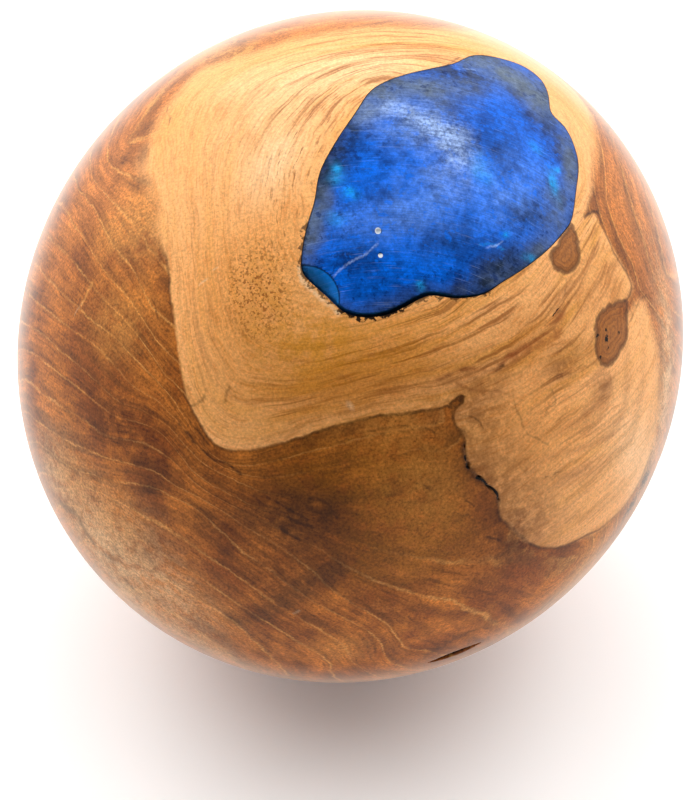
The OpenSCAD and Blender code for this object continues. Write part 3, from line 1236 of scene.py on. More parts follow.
@dataclass(frozen=True)
class RootWood:
    """Oiled root wood: pale sapwood, darker heartwood with growth lines, knots and stains.

    Attributes:
        effects: The shared effects.
        sap_pale: Lightest sapwood.
        sap_gold: Darker streaks of the sapwood.
        sap_brown: Thin brown fibres of the sapwood.
        heart_light: Lighter heartwood.
        heart_red: Redder heartwood.
        heart_dark: Dark side of a growth line.
        heart_line: Light growth lines.
        warm: Light orange heartwood.
        olive: Olive stain.
        red: Reddish stain.
        yellow: Yellow stain.
        amber: Darker, browner sapwood.
        painted_highlight: Painted highlight, where the light falls brightest on the sapwood and along the
            right edge of the ball.
        orange: Orange sapwood.
        shade: What darker wood is multiplied by.
        glow: Lighter, orange heartwood.
        fleck: What the fibres of the sapwood are multiplied by.
        knot_light: Lighter rings of a closed knot.
        knot_dark: Darker rings of a closed knot.
        tan: Greyish tan wood, which in the strip along the right edge of the ball is a painted highlight.
        light: Pale scratches.
        dark: Dark veins.
        black: Black crumbs and marks, and the painted shade deep in the open voids and the seam.
        roughness: Of the oiled surface.
        sheen: Strength of its reflections.
        painted_grazing_sheen: Painted reflection of the white surroundings, a pale colour where the surface
            turns away.
    """

    effects: SharedEffects
    sap_pale: str = "F6B270"
    sap_gold: str = "DE9A46"
    sap_brown: str = "8A4A18"
    heart_light: str = "C07028"
    heart_red: str = "8E4A16"
    heart_dark: str = "48220A"
    heart_line: str = "D8964C"
    warm: str = "CC7C3C"
    olive: str = "8E560C"
    red: str = "8A421C"
    yellow: str = "C88410"
    amber: str = "B46C1C"
    painted_highlight: str = "FFD09E"
    orange: str = "F0A050"
    shade: str = "A49488"
    glow: str = "D89448"
    fleck: str = "E2C294"
    knot_light: str = "A65E1E"
    knot_dark: str = "52240A"
    tan: str = "DAAE80"
    light: str = "F2D8B0"
    dark: str = "2A1408"
    black: str = "080503"
    roughness: float = 0.42
    sheen: float = 0.14
    painted_grazing_sheen: str = "ECD8CA"

    def material(self) -> bpy.types.Material:
        """Makes the material.

        Returns:
            The material.
        """
        material, pen, shader = new_material("root_wood")
        place = pen.place()
        broad, fine = pen.ripple(place, 6.0), pen.ripple(place, 1.2)
        edge = pen.add(pen.number(Field.SAP), pen.add(pen.times(broad, 0.8), pen.times(fine, 0.6)))
        spread = pen.add(pen.times(pen.number(Tint.SOFT), 2.2), 0.3)
        pale = pen.step(pen.math("DIVIDE", edge, spread), -1.0, 1.0)
        heart = self._heartwood(pen, place, edge, broad, fine)
        wood = pen.mix(pale, heart, self._sapwood(pen, place, broad))
        line = pen.step(pen.math("ABSOLUTE", pen.add(edge, 0.15)), 0.32, 0.06)
        wood = pen.lay(pen.times(line, pen.number(Tint.VEIN), 0.9), wood, self.dark)
        wood = self._knotted(pen, self._stained(pen, place, wood), fine)
        wood = pen.scaled(wood, self.effects.grain(pen, place, pen.step(pale, 0.0, 1.0, 2.4, 1.2)))
        wood = self._voids(pen, place, wood)
        # Painted reflection: the base colour turns pale where the surface turns away, standing in for the
        # white surroundings reflected there
        turned_away = pen.node("ShaderNodeLayerWeight", {"Blend": 0.5}).outputs["Facing"]
        wood = pen.lay(pen.step(turned_away, 0.66, 0.98, 0.0, 0.5), wood, self.painted_grazing_sheen)
        pen.feed(wood, shader.inputs["Base Color"])
        shader.inputs["Roughness"].default_value = self.roughness
        shader.inputs["Specular IOR Level"].default_value = self.sheen
        pen.relief(shader, pen.cloud(place, 0.35), 0.12, 0.0002)
        return material

    def _heartwood(self, pen: Pen, place: Feed, edge: Feed, broad: Feed, fine: Feed) -> Socket:
        """Colour of the heartwood.

        Args:
            pen: Pen of the material.
            place: Object coordinates.
            edge: Distance from the sapwood, in millimetres, negative in the heartwood.
            broad: Broad noise about 0.
            fine: Finer noise about 0.

        Returns:
            The colour.
        """
        ring, drawn_out = pen.number(Field.RING), self.effects.drawn_out
        finest = pen.times(pen.ripple(place, 0.4), 0.1)
        waves = pen.add(pen.times(broad, 0.22), pen.times(fine, 0.14))
        share = pen.math("FRACT", pen.add(pen.add(ring, finest), waves))
        patches = pen.step(pen.cloud(place, 9.0, 4.0, 0.6), 0.36, 0.64)
        base = pen.mix(patches, colour(self.heart_red), colour(self.heart_light))
        base = pen.lay(pen.times(pen.number(Tint.WARM), 0.7), base, self.warm)
        base = pen.scaled(base, pen.step(drawn_out(pen, place, ring, 5.0, 7.0), 0.28, 0.72, 0.66, 1.25))
        fibres = pen.step(drawn_out(pen, place, ring, 14.0, 2.5), 0.52, 0.72, 0.0, 0.5)
        late = pen.times(pen.step(share, 0.35, 1.0), pen.step(pen.cloud(place, 5.0), 0.3, 0.7, 0.08, 0.42))
        crisp = pen.step(pen.number(Tint.SOFT), 0.6, 0.1, 0.0, 0.5)
        hug = pen.times(pen.step(edge, -4.0, -0.3), pen.step(pen.cloud(place, 3.0), 0.3, 0.7), crisp)
        for darker in (fibres, late, hug):
            base = pen.lay(darker, base, self.heart_dark)
        near = pen.math("SUBTRACT", 0.5, pen.math("ABSOLUTE", pen.add(share, -0.5)))
        seen = pen.step(pen.number(Tint.PLAIN), 0.8, 0.2)
        broken = pen.step(pen.cloud(place, 4.0), 0.35, 0.65, 0.2, 0.75)
        return pen.lay(pen.times(pen.step(near, 0.07, 0.0), seen, broken), base, self.heart_line)

    def _sapwood(self, pen: Pen, place: Feed, broad: Feed) -> Socket:
        """Colour of the sapwood.

        Args:
            pen: Pen of the material.
            place: Object coordinates.
            broad: Broad noise about 0.

        Returns:
            The colour.
        """
        grain = pen.number(Tint.GRAIN)
        flow = pen.add(pen.number(Field.FLOW), pen.times(broad, 1.2))
        wide, thin, hairs, pores = (
            self.effects.drawn_out(pen, place, flow, fineness, length_mm)
            for fineness, length_mm in ((0.5, 16.0), (1.9, 9.0), (5.0, 2.2), (4.0, 2.2))
        )
        bands = pen.times(pen.step(wide, 0.4, 0.7), pen.step(grain, 0.0, 1.0, 0.35, 1.0))
        base = pen.mix(bands, colour(self.sap_pale), colour(self.sap_gold))
        for tint, text, most in (
            (Tint.ORANGE, self.orange, 0.85),
            # The second is a painted highlight
            (Tint.PALE, self.painted_highlight, 0.75),
            (Tint.AMBER, self.amber, 0.8),
        ):
            base = pen.lay(pen.times(pen.number(tint), most), base, text)
        lines = pen.times(pen.step(thin, 0.47, 0.66), pen.step(grain, 0.0, 1.0, 0.1, 0.75))
        base = pen.lay(lines, base, self.sap_brown)
        base = pen.lay(pen.step(hairs, 0.46, 0.68, 0.0, 0.45), base, self.fleck, "MULTIPLY")
        most = pen.step(pen.number(Tint.PORES), 0.0, 1.0, 0.12, 0.75)
        base = pen.lay(pen.times(pen.step(pores, 0.56, 0.68), most), base, self.sap_brown)
        arc = pen.math("FRACT", pen.add(pen.number(Field.ARC), pen.times(broad, 0.3)))
        band = pen.step(pen.math("ABSOLUTE", pen.add(arc, -0.5)), 0.15, 0.5)
        return pen.lay(pen.times(band, pen.number(Tint.GOLDEN), 0.26), base, self.sap_brown)

    def _stained(self, pen: Pen, place: Feed, wood: Feed) -> Socket:
        """Lays the stains over the wood.

        Args:
            pen: Pen of the material.
            place: Object coordinates.
            wood: Colour of the wood.

        Returns:
            The stained colour.
        """
        breaks = pen.cloud(place, 1.6, 3.0, 0.6)
        torn = pen.step(breaks, 0.3, 0.62, 0.35, 1.0)
        for tint, text, most in (
            # Tan is in one strip a painted highlight
            (Tint.TAN, self.tan, 0.95),
            (Tint.OLIVE, self.olive, 0.75),
            (Tint.YELLOW, self.yellow, 0.75),
            (Tint.RED, self.red, 0.8),
            (Tint.GLOW, self.glow, 0.75),
        ):
            wood = pen.lay(pen.times(pen.number(tint), torn, most), wood, text)
        wood = pen.lay(pen.times(pen.number(Tint.SHADE), torn), wood, self.shade, "MULTIPLY")
        dots = pen.step(pen.cloud(place, 0.36, 1.0, 0.5), 0.54, 0.64)
        wood = pen.lay(pen.times(pen.number(Tint.DOTS), dots, 0.85), wood, self.sap_brown)
        veins = pen.times(pen.number(Tint.DARK), pen.step(breaks, 0.25, 0.55, 0.6, 1.0))
        wood = pen.lay(veins, wood, self.dark)
        return pen.lay(pen.number(Tint.LIGHT), wood, self.light)

    def _knotted(self, pen: Pen, wood: Feed, fine: Feed) -> Socket:
        """Lays the closed knots over the wood.

        Args:
            pen: Pen of the material.
            wood: Colour of the wood.
            fine: Fine noise about 0.

        Returns:
            The colour.
        """
        depth = pen.add(pen.number(Field.KNOT), pen.times(fine, 1.1))
        turns = pen.math("FRACT", pen.times(depth, 1.4))
        rings = pen.step(turns, 0.1, 0.9, 0.2, 0.65)
        knot = pen.mix(rings, colour(self.knot_light), colour(self.knot_dark))
        wood = pen.mix(pen.step(depth, -0.05, 0.25, 0.0, 0.85), wood, knot)
        rim = pen.step(pen.math("ABSOLUTE", depth), 0.5, 0.1)
        return pen.lay(pen.times(rim, 0.75), wood, self.heart_dark)

    def _voids(self, pen: Pen, place: Feed, wood: Feed) -> Socket:
        """Paints shade into the open voids and the seam, darker the deeper, and darkens the wood at the
        inlay's edge.

        Args:
            pen: Pen of the material.
            place: Object coordinates.
            wood: Colour of the wood.

        Returns:
            The colour.
        """
        crumbs = pen.cloud(place, 0.4, 2.0, 0.6)
        halo = pen.times(pen.number(Tint.HALO), pen.step(crumbs, 0.35, 0.6, 0.3, 0.9))
        wood = pen.lay(halo, wood, self.light)
        ragged = pen.add(pen.number(Field.RIM), pen.times(pen.ripple(place, 0.8, 3.0, 0.6), 2.8))
        jagged = pen.add(pen.number(Tint.BLACK), pen.times(pen.add(crumbs, -0.5), 1.2))
        # Painted shade: the deeper a point lies below the turned surface, in a void or down the seam, the
        # nearer to black it is painted
        sunk = pen.step(pen.number(Field.PIT), 0.08, 0.5)
        for open_void in (
            pen.times(pen.step(ragged, 0.26, 0.04), pen.number(Tint.CRUMB)),
            pen.step(jagged, 0.25, 0.55),
            pen.times(sunk, pen.step(crumbs, 0.45, 0.62, 1.0, 0.8)),
        ):
            wood = pen.lay(open_void, wood, self.black)
        return wood


@dataclass(frozen=True)
class BlueResin:
    """Cast blue resin, clouded, sanded and only half polished.

    Attributes:
        effects: The shared effects.
        navy: Darkest blue.
        royal: Main blue.
        azure: Lighter blue.
        cyan: Light flecks.
        violet: Greyer, lighter blue.
        haze: Whitish colour of the painted highlight of the overhead light, and of pale scratches and
            sanding lines.
        slate: Grey blue near the edge, which along the top edge is a painted glare of the white
            surroundings.
        deep: Dark depths.
        chip: Floor of the chip.
        bubble: Burst bubbles.
        black: Crumbs in the seam, and the painted shade on the resin's sides deep down the seam.
        roughness: Of the sanded surface.
        rough_spread: How far that differs along the sanding lines.
        sheen: Strength of its reflections.
    """

    effects: SharedEffects
    navy: str = "012058"
    royal: str = "0056C0"
    azure: str = "006AE8"
    cyan: str = "18A8F4"
    violet: str = "5C8CE6"
    haze: str = "A8C4F4"
    slate: str = "5C6876"
    deep: str = "0A1826"
    chip: str = "1078C0"
    bubble: str = "E4E8EC"
    black: str = "04060A"
    roughness: float = 0.38
    rough_spread: float = 0.08
    sheen: float = 0.04

    def material(self) -> bpy.types.Material:
        """Makes the material.

        Returns:
            The material.
        """
        material, pen, shader = new_material("blue_resin")
        place = pen.place()
        lines = self.effects.drawn_out(pen, place, pen.number(Field.LAP), 6.0, 6.0)
        soft = pen.step(pen.cloud(place, 2.6, 4.0, 0.7), 0.32, 0.62, 0.4, 1.0)
        base = self._clouded(pen, place, soft)
        base = self._sanded(pen, place, base, lines, soft)
        pen.feed(self._worn(pen, place, base), shader.inputs["Base Color"])
        least, most = self.roughness - self.rough_spread, self.roughness + self.rough_spread
        pen.feed(pen.step(lines, 0.3, 0.7, least, most), shader.inputs["Roughness"])
        shader.inputs["Specular IOR Level"].default_value = self.sheen
        pen.relief(shader, lines, 0.15, 0.0001)
        return material

    def _clouded(self, pen: Pen, place: Feed, soft: Feed) -> Socket:
        """Colour of the resin itself, with its clouds and flecks.

        Args:
            pen: Pen of the material.
            place: Object coordinates.
            soft: Soft breaks in what is laid over it.

        Returns:
            The colour.
        """
        clouds, rim = pen.cloud(place, 5.0, 5.0, 0.65), pen.number(Field.RIM)
        base = pen.mix(pen.step(clouds, 0.4, 0.58), colour(self.navy), colour(self.royal))
        torn = pen.step(pen.cloud(place, 2.0, 5.0, 0.75), 0.36, 0.6, 0.45, 1.0)
        even = pen.step(soft, 0.0, 1.0, 0.6, 1.0)
        band = pen.step(pen.add(rim, pen.times(pen.add(clouds, -0.5), 3.0)), 2.0, 0.2, 0.0, 0.2)
        for share, broken, text in (
            (pen.times(pen.number(Tint.AZURE), 0.95), soft, self.azure),
            (pen.times(pen.number(Tint.VIOLET), 0.85), soft, self.violet),
            # Grey blue near the rim; along the top edge a painted glare
            (band, even, self.slate),
            (pen.number(Tint.SLATE), even, self.slate),
            (pen.number(Tint.DEEP), torn, self.deep),
            (pen.number(Tint.CYAN), torn, self.cyan),
        ):
            base = pen.lay(pen.times(share, broken), base, text)
        base = pen.scaled(base, pen.step(pen.cloud(place, 0.9, 4.0, 0.75), 0.3, 0.7, 0.76, 1.24))
        flecks = pen.cloud(place, 1.1, 3.0, 0.6)
        clear = pen.times(pen.step(pen.number(Tint.SLATE), 0.5, 0.1), pen.step(rim, 0.8, 3.0))
        base = pen.lay(pen.times(pen.step(flecks, 0.58, 0.64, 0.0, 0.5), clear), base, self.azure)
        near_rim = pen.step(rim, 9.0, 2.0, 0.1, 0.55)
        return pen.lay(pen.times(pen.step(flecks, 0.42, 0.35), near_rim), base, self.navy)

    def _sanded(self, pen: Pen, place: Feed, base: Feed, lines: Feed, soft: Feed) -> Socket:
        """Lays the painted highlight of the overhead light, the pale scratches and the sanding lines over
        the resin.

        Args:
            pen: Pen of the material.
            place: Object coordinates.
            base: Colour of the resin.
            lines: The sanding lines, between 0 and 1.
            soft: Soft breaks in the painted highlight and the scratches.

        Returns:
            The colour.
        """
        grainy = pen.step(pen.cloud(place, 0.45, 3.0, 0.7), 0.34, 0.62, 0.4, 1.0)
        speckled = pen.times(grainy, pen.step(lines, 0.35, 0.65, 0.75, 1.0))
        # Painted highlight of the overhead light, and the pale scratches
        base = pen.lay(pen.times(pen.number(Tint.HAZE), speckled, soft), base, self.haze)
        base = pen.scaled(base, pen.step(lines, 0.3, 0.7, 0.86, 1.14))
        hairs = self.effects.drawn_out(pen, place, pen.number(Field.LAP), 8.0, 3.5)
        base = pen.lay(pen.step(hairs, 0.6, 0.76, 0.0, 0.2), base, self.haze)
        return pen.scaled(base, self.effects.grain(pen, place, 0.9))

    def _worn(self, pen: Pen, place: Feed, base: Feed) -> Socket:
        """Colours the chip, the bubbles and the crumbly edge, and paints shade on the resin's sides deep
        down the seam.

        Args:
            pen: Pen of the material.
            place: Object coordinates.
            base: Colour of the resin.

        Returns:
            The colour.
        """
        pit, rim = pen.number(Field.PIT), pen.number(Field.RIM)
        floor = pen.scaled(pen.lay(0.6, base, self.chip), pen.step(pit, 0.0, 0.9, 1.15, 0.8))
        base = pen.mix(pen.step(pit, 0.01, 0.09, 0.0, 0.9), base, floor)
        chip_edge = pen.times(pen.step(pit, 0.0, 0.03), pen.step(pit, 0.14, 0.06), 0.75)
        rough_edge = pen.add(rim, pen.times(pen.ripple(place, 0.8), 1.4))
        ragged = pen.add(rim, pen.times(pen.ripple(place, 0.5, 2.0, 0.6), 2.6))
        for share, text in (
            (chip_edge, self.deep),
            (pen.step(pen.number(Tint.BUBBLE), 0.3, 0.5), self.bubble),
            (pen.step(rough_edge, 0.25, -0.1, 0.0, 0.35), self.deep),
            (pen.times(pen.step(ragged, 0.25, -0.05), pen.number(Tint.CRUMB)), self.black),
            # Painted shade: the resin deep in the hollow, seen down the open seam, is painted black
            (pen.step(pit, 1.3, 2.0), self.black),
        ):
            base = pen.lay(share, base, text)
        return base


@dataclass(frozen=True)
class PaleFloor:
    """A plain white floor that keeps the ball's soft shadow.

    Attributes:
        white: Its colour.
        lift: Light that the camera sees it give, so that it is white away from the shadow.
        roughness: Of its surface.
    """

    white: str = "FFFEFD"
    lift: float = 0.1
    roughness: float = 0.9

    def material(self) -> bpy.types.Material:
        """Makes the material.

        Returns:
            The material.
        """
        material, pen, shader = new_material("pale_floor")
        shader.inputs["Base Color"].default_value = colour(self.white)
        shader.inputs["Roughness"].default_value = self.roughness
        shader.inputs["Specular IOR Level"].default_value = 0.0
        shader.inputs["Emission Color"].default_value = (1.0, 1.0, 1.0, 1.0)
        seen = pen.node("ShaderNodeLightPath").outputs["Is Camera Ray"]
        pen.feed(pen.times(seen, self.lift), shader.inputs["Emission Strength"])
        return material


def put_number(mesh: bpy.types.Mesh, name: Field | Tint, values: np.ndarray) -> None:
    """Writes one number for each vertex.

    Args:
        mesh: The mesh.
        name: The field or tint that the numbers are for.
        values: The numbers.
    """
    attribute = mesh.attributes.new(name.value, "FLOAT", "POINT")
    attribute.data.foreach_set("value", values.astype(np.float32))


def rows_of(items: bpy.types.bpy_prop_collection, value: str) -> np.ndarray:
    """Three numbers of each point or face of a mesh.

    Args:
        items: The points or the faces.
        value: Blender's name of the numbers.

    Returns:
        One row for each.
    """
    values = np.zeros(len(items) * 3, np.float32)
    items.foreach_get(value, values)
    return values.reshape(-1, 3).astype(float)


def set_points(mesh: bpy.types.Mesh, points: np.ndarray) -> None:
    """Moves the points of a mesh."""
    mesh.vertices.foreach_set("co", points.astype(np.float32).ravel())
    mesh.update()


def combined(name: Tint, marks: Sequence[Streak | Stain], points: np.ndarray, view: PhotoView) -> np.ndarray:
    """Share of one tint at points, from all of its streaks and stains.

    Args:
        name: The tint.
        marks: Streaks and stains of any tint.
        points: The points.
        view: The camera that their pixels belong to.

    Returns:
        One number from 0 to 1 for each point.
    """
    left = np.ones(len(points))
    for mark in marks:
        if mark.tint is name:
            left *= 1 - mark.cover(points, view)
    return 1 - left


@dataclass(frozen=True)
class Mouth:
    """The hollow in the side of the ball, and the shape of the resin that fills it.

    Attributes:
        solid: The CAD solid that has the hollow.
        blank: The turned shape.
        direction_deg: Azimuth and elevation of its middle.
        width: Of the mouth, seen square on.
        depth: At its middle.
        floor_r: Radius of its dished floor.
        bond_line: Gap between the resin and the wood.
        seam_open: The widest gap, where the resin has shrunk away.
        seam_bearing_deg: Bearing of that gap.
        seam_spread_deg: Half of the arc that it opens over.
        rim_points: Points of its outline.
        wall_reach: Share of the width within which its wall lies.
        wall_lean: How far the wall may lean and still count as straight.
        below: How far the cutter goes on below the floor.
        above: How far the cutter goes on above the surface.
    """

    solid: bpy.types.Object
    blank: Spheroid = Spheroid()
    direction_deg: tuple[float, float] = (41.0, 65.0)
    width: float = 0.050
    depth: float = 0.018
    floor_r: float = 0.070
    bond_line: float = 0.0001
    seam_open: float = 0.00055
    seam_bearing_deg: float = 214.0
    seam_spread_deg: float = 45.0
    rim_points: int = 200
    wall_reach: float = 0.6
    wall_lean: float = 0.02
    below: float = 0.004
    above: float = 0.012

    @property
    def axes(self) -> np.ndarray:
        """Across, up and out at the middle of the mouth."""
        return facing(*self.direction_deg)

    @property
    def top(self) -> float:
        """Distance from the centre of the ball to the surface over the middle."""
        return float(self.blank.radius(self.axes[2:])[0])

    def outline(self) -> np.ndarray:
        """The mouth's outline, from the straight wall of the hollow in the CAD solid.

        Returns:
            Its corners, across and up, anticlockwise.
        """
        mesh = self.solid.data
        normal, middle = (self.local(rows_of(mesh.polygons, value)) for value in ("normal", "center"))
        near = np.hypot(middle[:, 0], middle[:, 1]) < self.wall_reach * self.width
        wall = near & (middle[:, 2] > 0) & (np.abs(normal[:, 2]) < self.wall_lean)
        corners = sorted({corner for face in np.nonzero(wall)[0] for corner in mesh.polygons[face].vertices})
        flat = self.local(rows_of(mesh.vertices, "co")[corners])[:, :2]
        return even_loop(flat[np.argsort(np.arctan2(flat[:, 1], flat[:, 0]))], self.rim_points)

    def drawn_in(self) -> np.ndarray:
        """The resin's outline, inside the mouth by the width of the seam.

        Returns:
            Its corners, across and up.
        """
        outline = self.outline()
        run = np.roll(outline, -1, axis=0) - np.roll(outline, 1, axis=0)
        inward = np.column_stack([-run[:, 1], run[:, 0]]) / np.linalg.norm(run, axis=1)[:, None]
        off = np.degrees(np.arctan2(outline[:, 1], outline[:, 0])) % 360 - self.seam_bearing_deg
        opening = np.cos(np.radians(90 * np.clip(off / self.seam_spread_deg, -1, 1))) ** 2
        return outline + (self.bond_line + (self.seam_open - self.bond_line) * opening)[:, None] * inward

    def local(self, points: np.ndarray) -> np.ndarray:
        """Points as across, up and out at the mouth."""
        return points @ self.axes.T

    def rim_distance(self, points: np.ndarray, outline: np.ndarray) -> np.ndarray:
        """Distance of points from the rim, seen square on; negative outside it.

        Args:
            points: The points.
            outline: The rim.

        Returns:
            One distance for each point.
        """
        local = self.local(points)
        flat = local[:, :2]
        away = distance_to_path(flat, looped(outline))
        inside = inside_outline(flat, outline) & (local[:, 2] > 0)
        return np.where(inside, away, -np.where(local[:, 2] > 0, away, self.width))

    def cutter(self, outline: np.ndarray, gap: float) -> bpy.types.Object:
        """The space of the hollow under an outline.

        Args:
            outline: The outline.
            gap: How far its floor lies above the hollow's.

        Returns:
            A closed object.
        """
        low, high = self.top - self.depth - self.below, self.top + self.above
        shape = bmesh.new()
        corners = [shape.verts.new(Vector(self.axes.T @ np.array([x, y, low]))) for x, y in outline]
        base = shape.faces.new(corners)
        lifted = bmesh.ops.extrude_face_region(shape, geom=[base])["geom"]
        rise = Vector(self.axes[2] * (high - low))
        bmesh.ops.translate(shape, vec=rise, verts=[v for v in lifted if isinstance(v, bmesh.types.BMVert)])
        bmesh.ops.recalc_face_normals(shape, faces=shape.faces[:])
        prism = to_object("mouth_prism", shape)
        dish = bmesh.new()
        bmesh.ops.create_icosphere(dish, subdivisions=6, radius=self.floor_r - gap)
        middle = self.axes[2] * (self.top - self.depth + self.floor_r)
        bmesh.ops.translate(dish, vec=Vector(middle), verts=dish.verts[:])
        return carved(prism, to_object("mouth_dish", dish), "INTERSECT")


def to_object(name: str, shape: bmesh.types.BMesh) -> bpy.types.Object:
    """Makes an object of a shape and lets the shape go.

    Args:
        name: The object's name.
        shape: The shape.

    Returns:
        The object, in the scene.
    """
    mesh = bpy.data.meshes.new(name)
    shape.to_mesh(mesh)
    shape.free()
    made = bpy.data.objects.new(name, mesh)
    bpy.context.scene.collection.objects.link(made)
    return made


def carved(body: bpy.types.Object, tool: bpy.types.Object, operation: str) -> bpy.types.Object:
    """Cuts one object with another, which goes away.

    Args:
        body: The object that stays.
        tool: The object to cut with.
        operation: Blender's name of the cut.

    Returns:
        The first object, with its new mesh.
    """
    modifier = body.modifiers.new("cut", "BOOLEAN")
    modifier.operation, modifier.solver, modifier.object = operation, "EXACT", tool
    graph = bpy.context.evaluated_depsgraph_get()
    mesh = bpy.data.meshes.new_from_object(body.evaluated_get(graph))
    body.modifiers.clear()
    old, body.data = body.data, mesh
    mesh.name = body.name
    bpy.data.meshes.remove(old)
    bpy.data.meshes.remove(tool.data)
    return body


@dataclass(frozen=True)
class Refinement:
    """A part of the surface that takes a finer mesh.

    Attributes:
        path: Points along its middle.
        reach: How far to each side it goes.
        times: How often the mesh is halved.
    """

    path: np.ndarray
    reach: float
    times: int

    @classmethod
    def about(cls, point: np.ndarray, reach: float, times: int) -> "Refinement":
        """A round part about a point, from the point, its reach and how often the mesh is halved."""
        return cls(np.stack([point, point * 1.001]), reach, times)


@dataclass(frozen=True)
class BlankMesh:
    """An even mesh of the turned shape, finer in places.

    Attributes:
        blank: The turned shape.
        cuts: Cuts along each edge of the cube that it starts from.
    """

    blank: Spheroid = Spheroid()
    cuts: int = 95

    @property
    def spacing(self) -> float:
        """Width of the largest faces."""
        return self.blank.along * math.pi / 2 / (self.cuts + 1)

    def build(self, finer: Sequence[Refinement]) -> bmesh.types.BMesh:
        """Makes the mesh.

        Args:
            finer: The parts that take a finer mesh.

        Returns:
            The mesh.
        """
        shape = bmesh.new()
        bmesh.ops.create_cube(shape, size=2.0)
        bmesh.ops.subdivide_edges(shape, edges=shape.edges[:], cuts=self.cuts, use_grid_fill=True)
        for vert in shape.verts:
            vert.co = Vector([math.tan(c * math.pi / 4) for c in vert.co])
        self._settle(shape)
        for level in range(max((part.times for part in finer), default=0)):
            points = np.array([v.co for v in shape.verts])
            near = np.zeros(len(points), bool)
            for part in finer:
                if part.times > level:
                    near |= self._within(points, part, part.reach + self.spacing / 2**level)
            shape.verts.index_update()
            edges = [e for e in shape.edges if near[e.verts[0].index] and near[e.verts[1].index]]
            bmesh.ops.subdivide_edges(shape, edges=edges, cuts=1, use_grid_fill=True)
            self._settle(shape)
        bmesh.ops.triangulate(shape, faces=[f for f in shape.faces if len(f.verts) > 4])
        return shape

    @staticmethod
    def _within(points: np.ndarray, part: Refinement, reach: float) -> np.ndarray:
        """Whether points lie within a reach of the middle of a part.

        Args:
            points: The points.
            part: The part.
            reach: The reach.

        Returns:
            True for each point that does.
        """
        near = round_path(points, part.path, reach)
        near[near] = distance_to_path(points[near], part.path) < reach
        return near

    def _settle(self, shape: bmesh.types.BMesh) -> None:
        """Moves every point onto the turned surface.

        Args:
            shape: The mesh.
        """
        points = self.blank.onto(np.array([v.co for v in shape.verts]))
        for vert, point in zip(shape.verts, points):
            vert.co = Vector(point)


def finish_piece(piece: bpy.types.Object, material: bpy.types.Material, node: str) -> None:
    """Dresses a finished piece and puts it in its CAD node's place.

    Args:
        piece: The piece.
        material: Its material.
        node: The CAD node that it is shown for.
    """
    mesh = piece.data
    mesh.materials.clear()
    mesh.materials.append(material)
    mesh.shade_smooth()
    mesh.set_sharp_from_angle(angle=math.radians(SHARP_DEG))
    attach(piece, "root")
    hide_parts(node)
    LOG.info("%s: %d points, %d faces", piece.name, len(mesh.vertices), len(mesh.polygons))


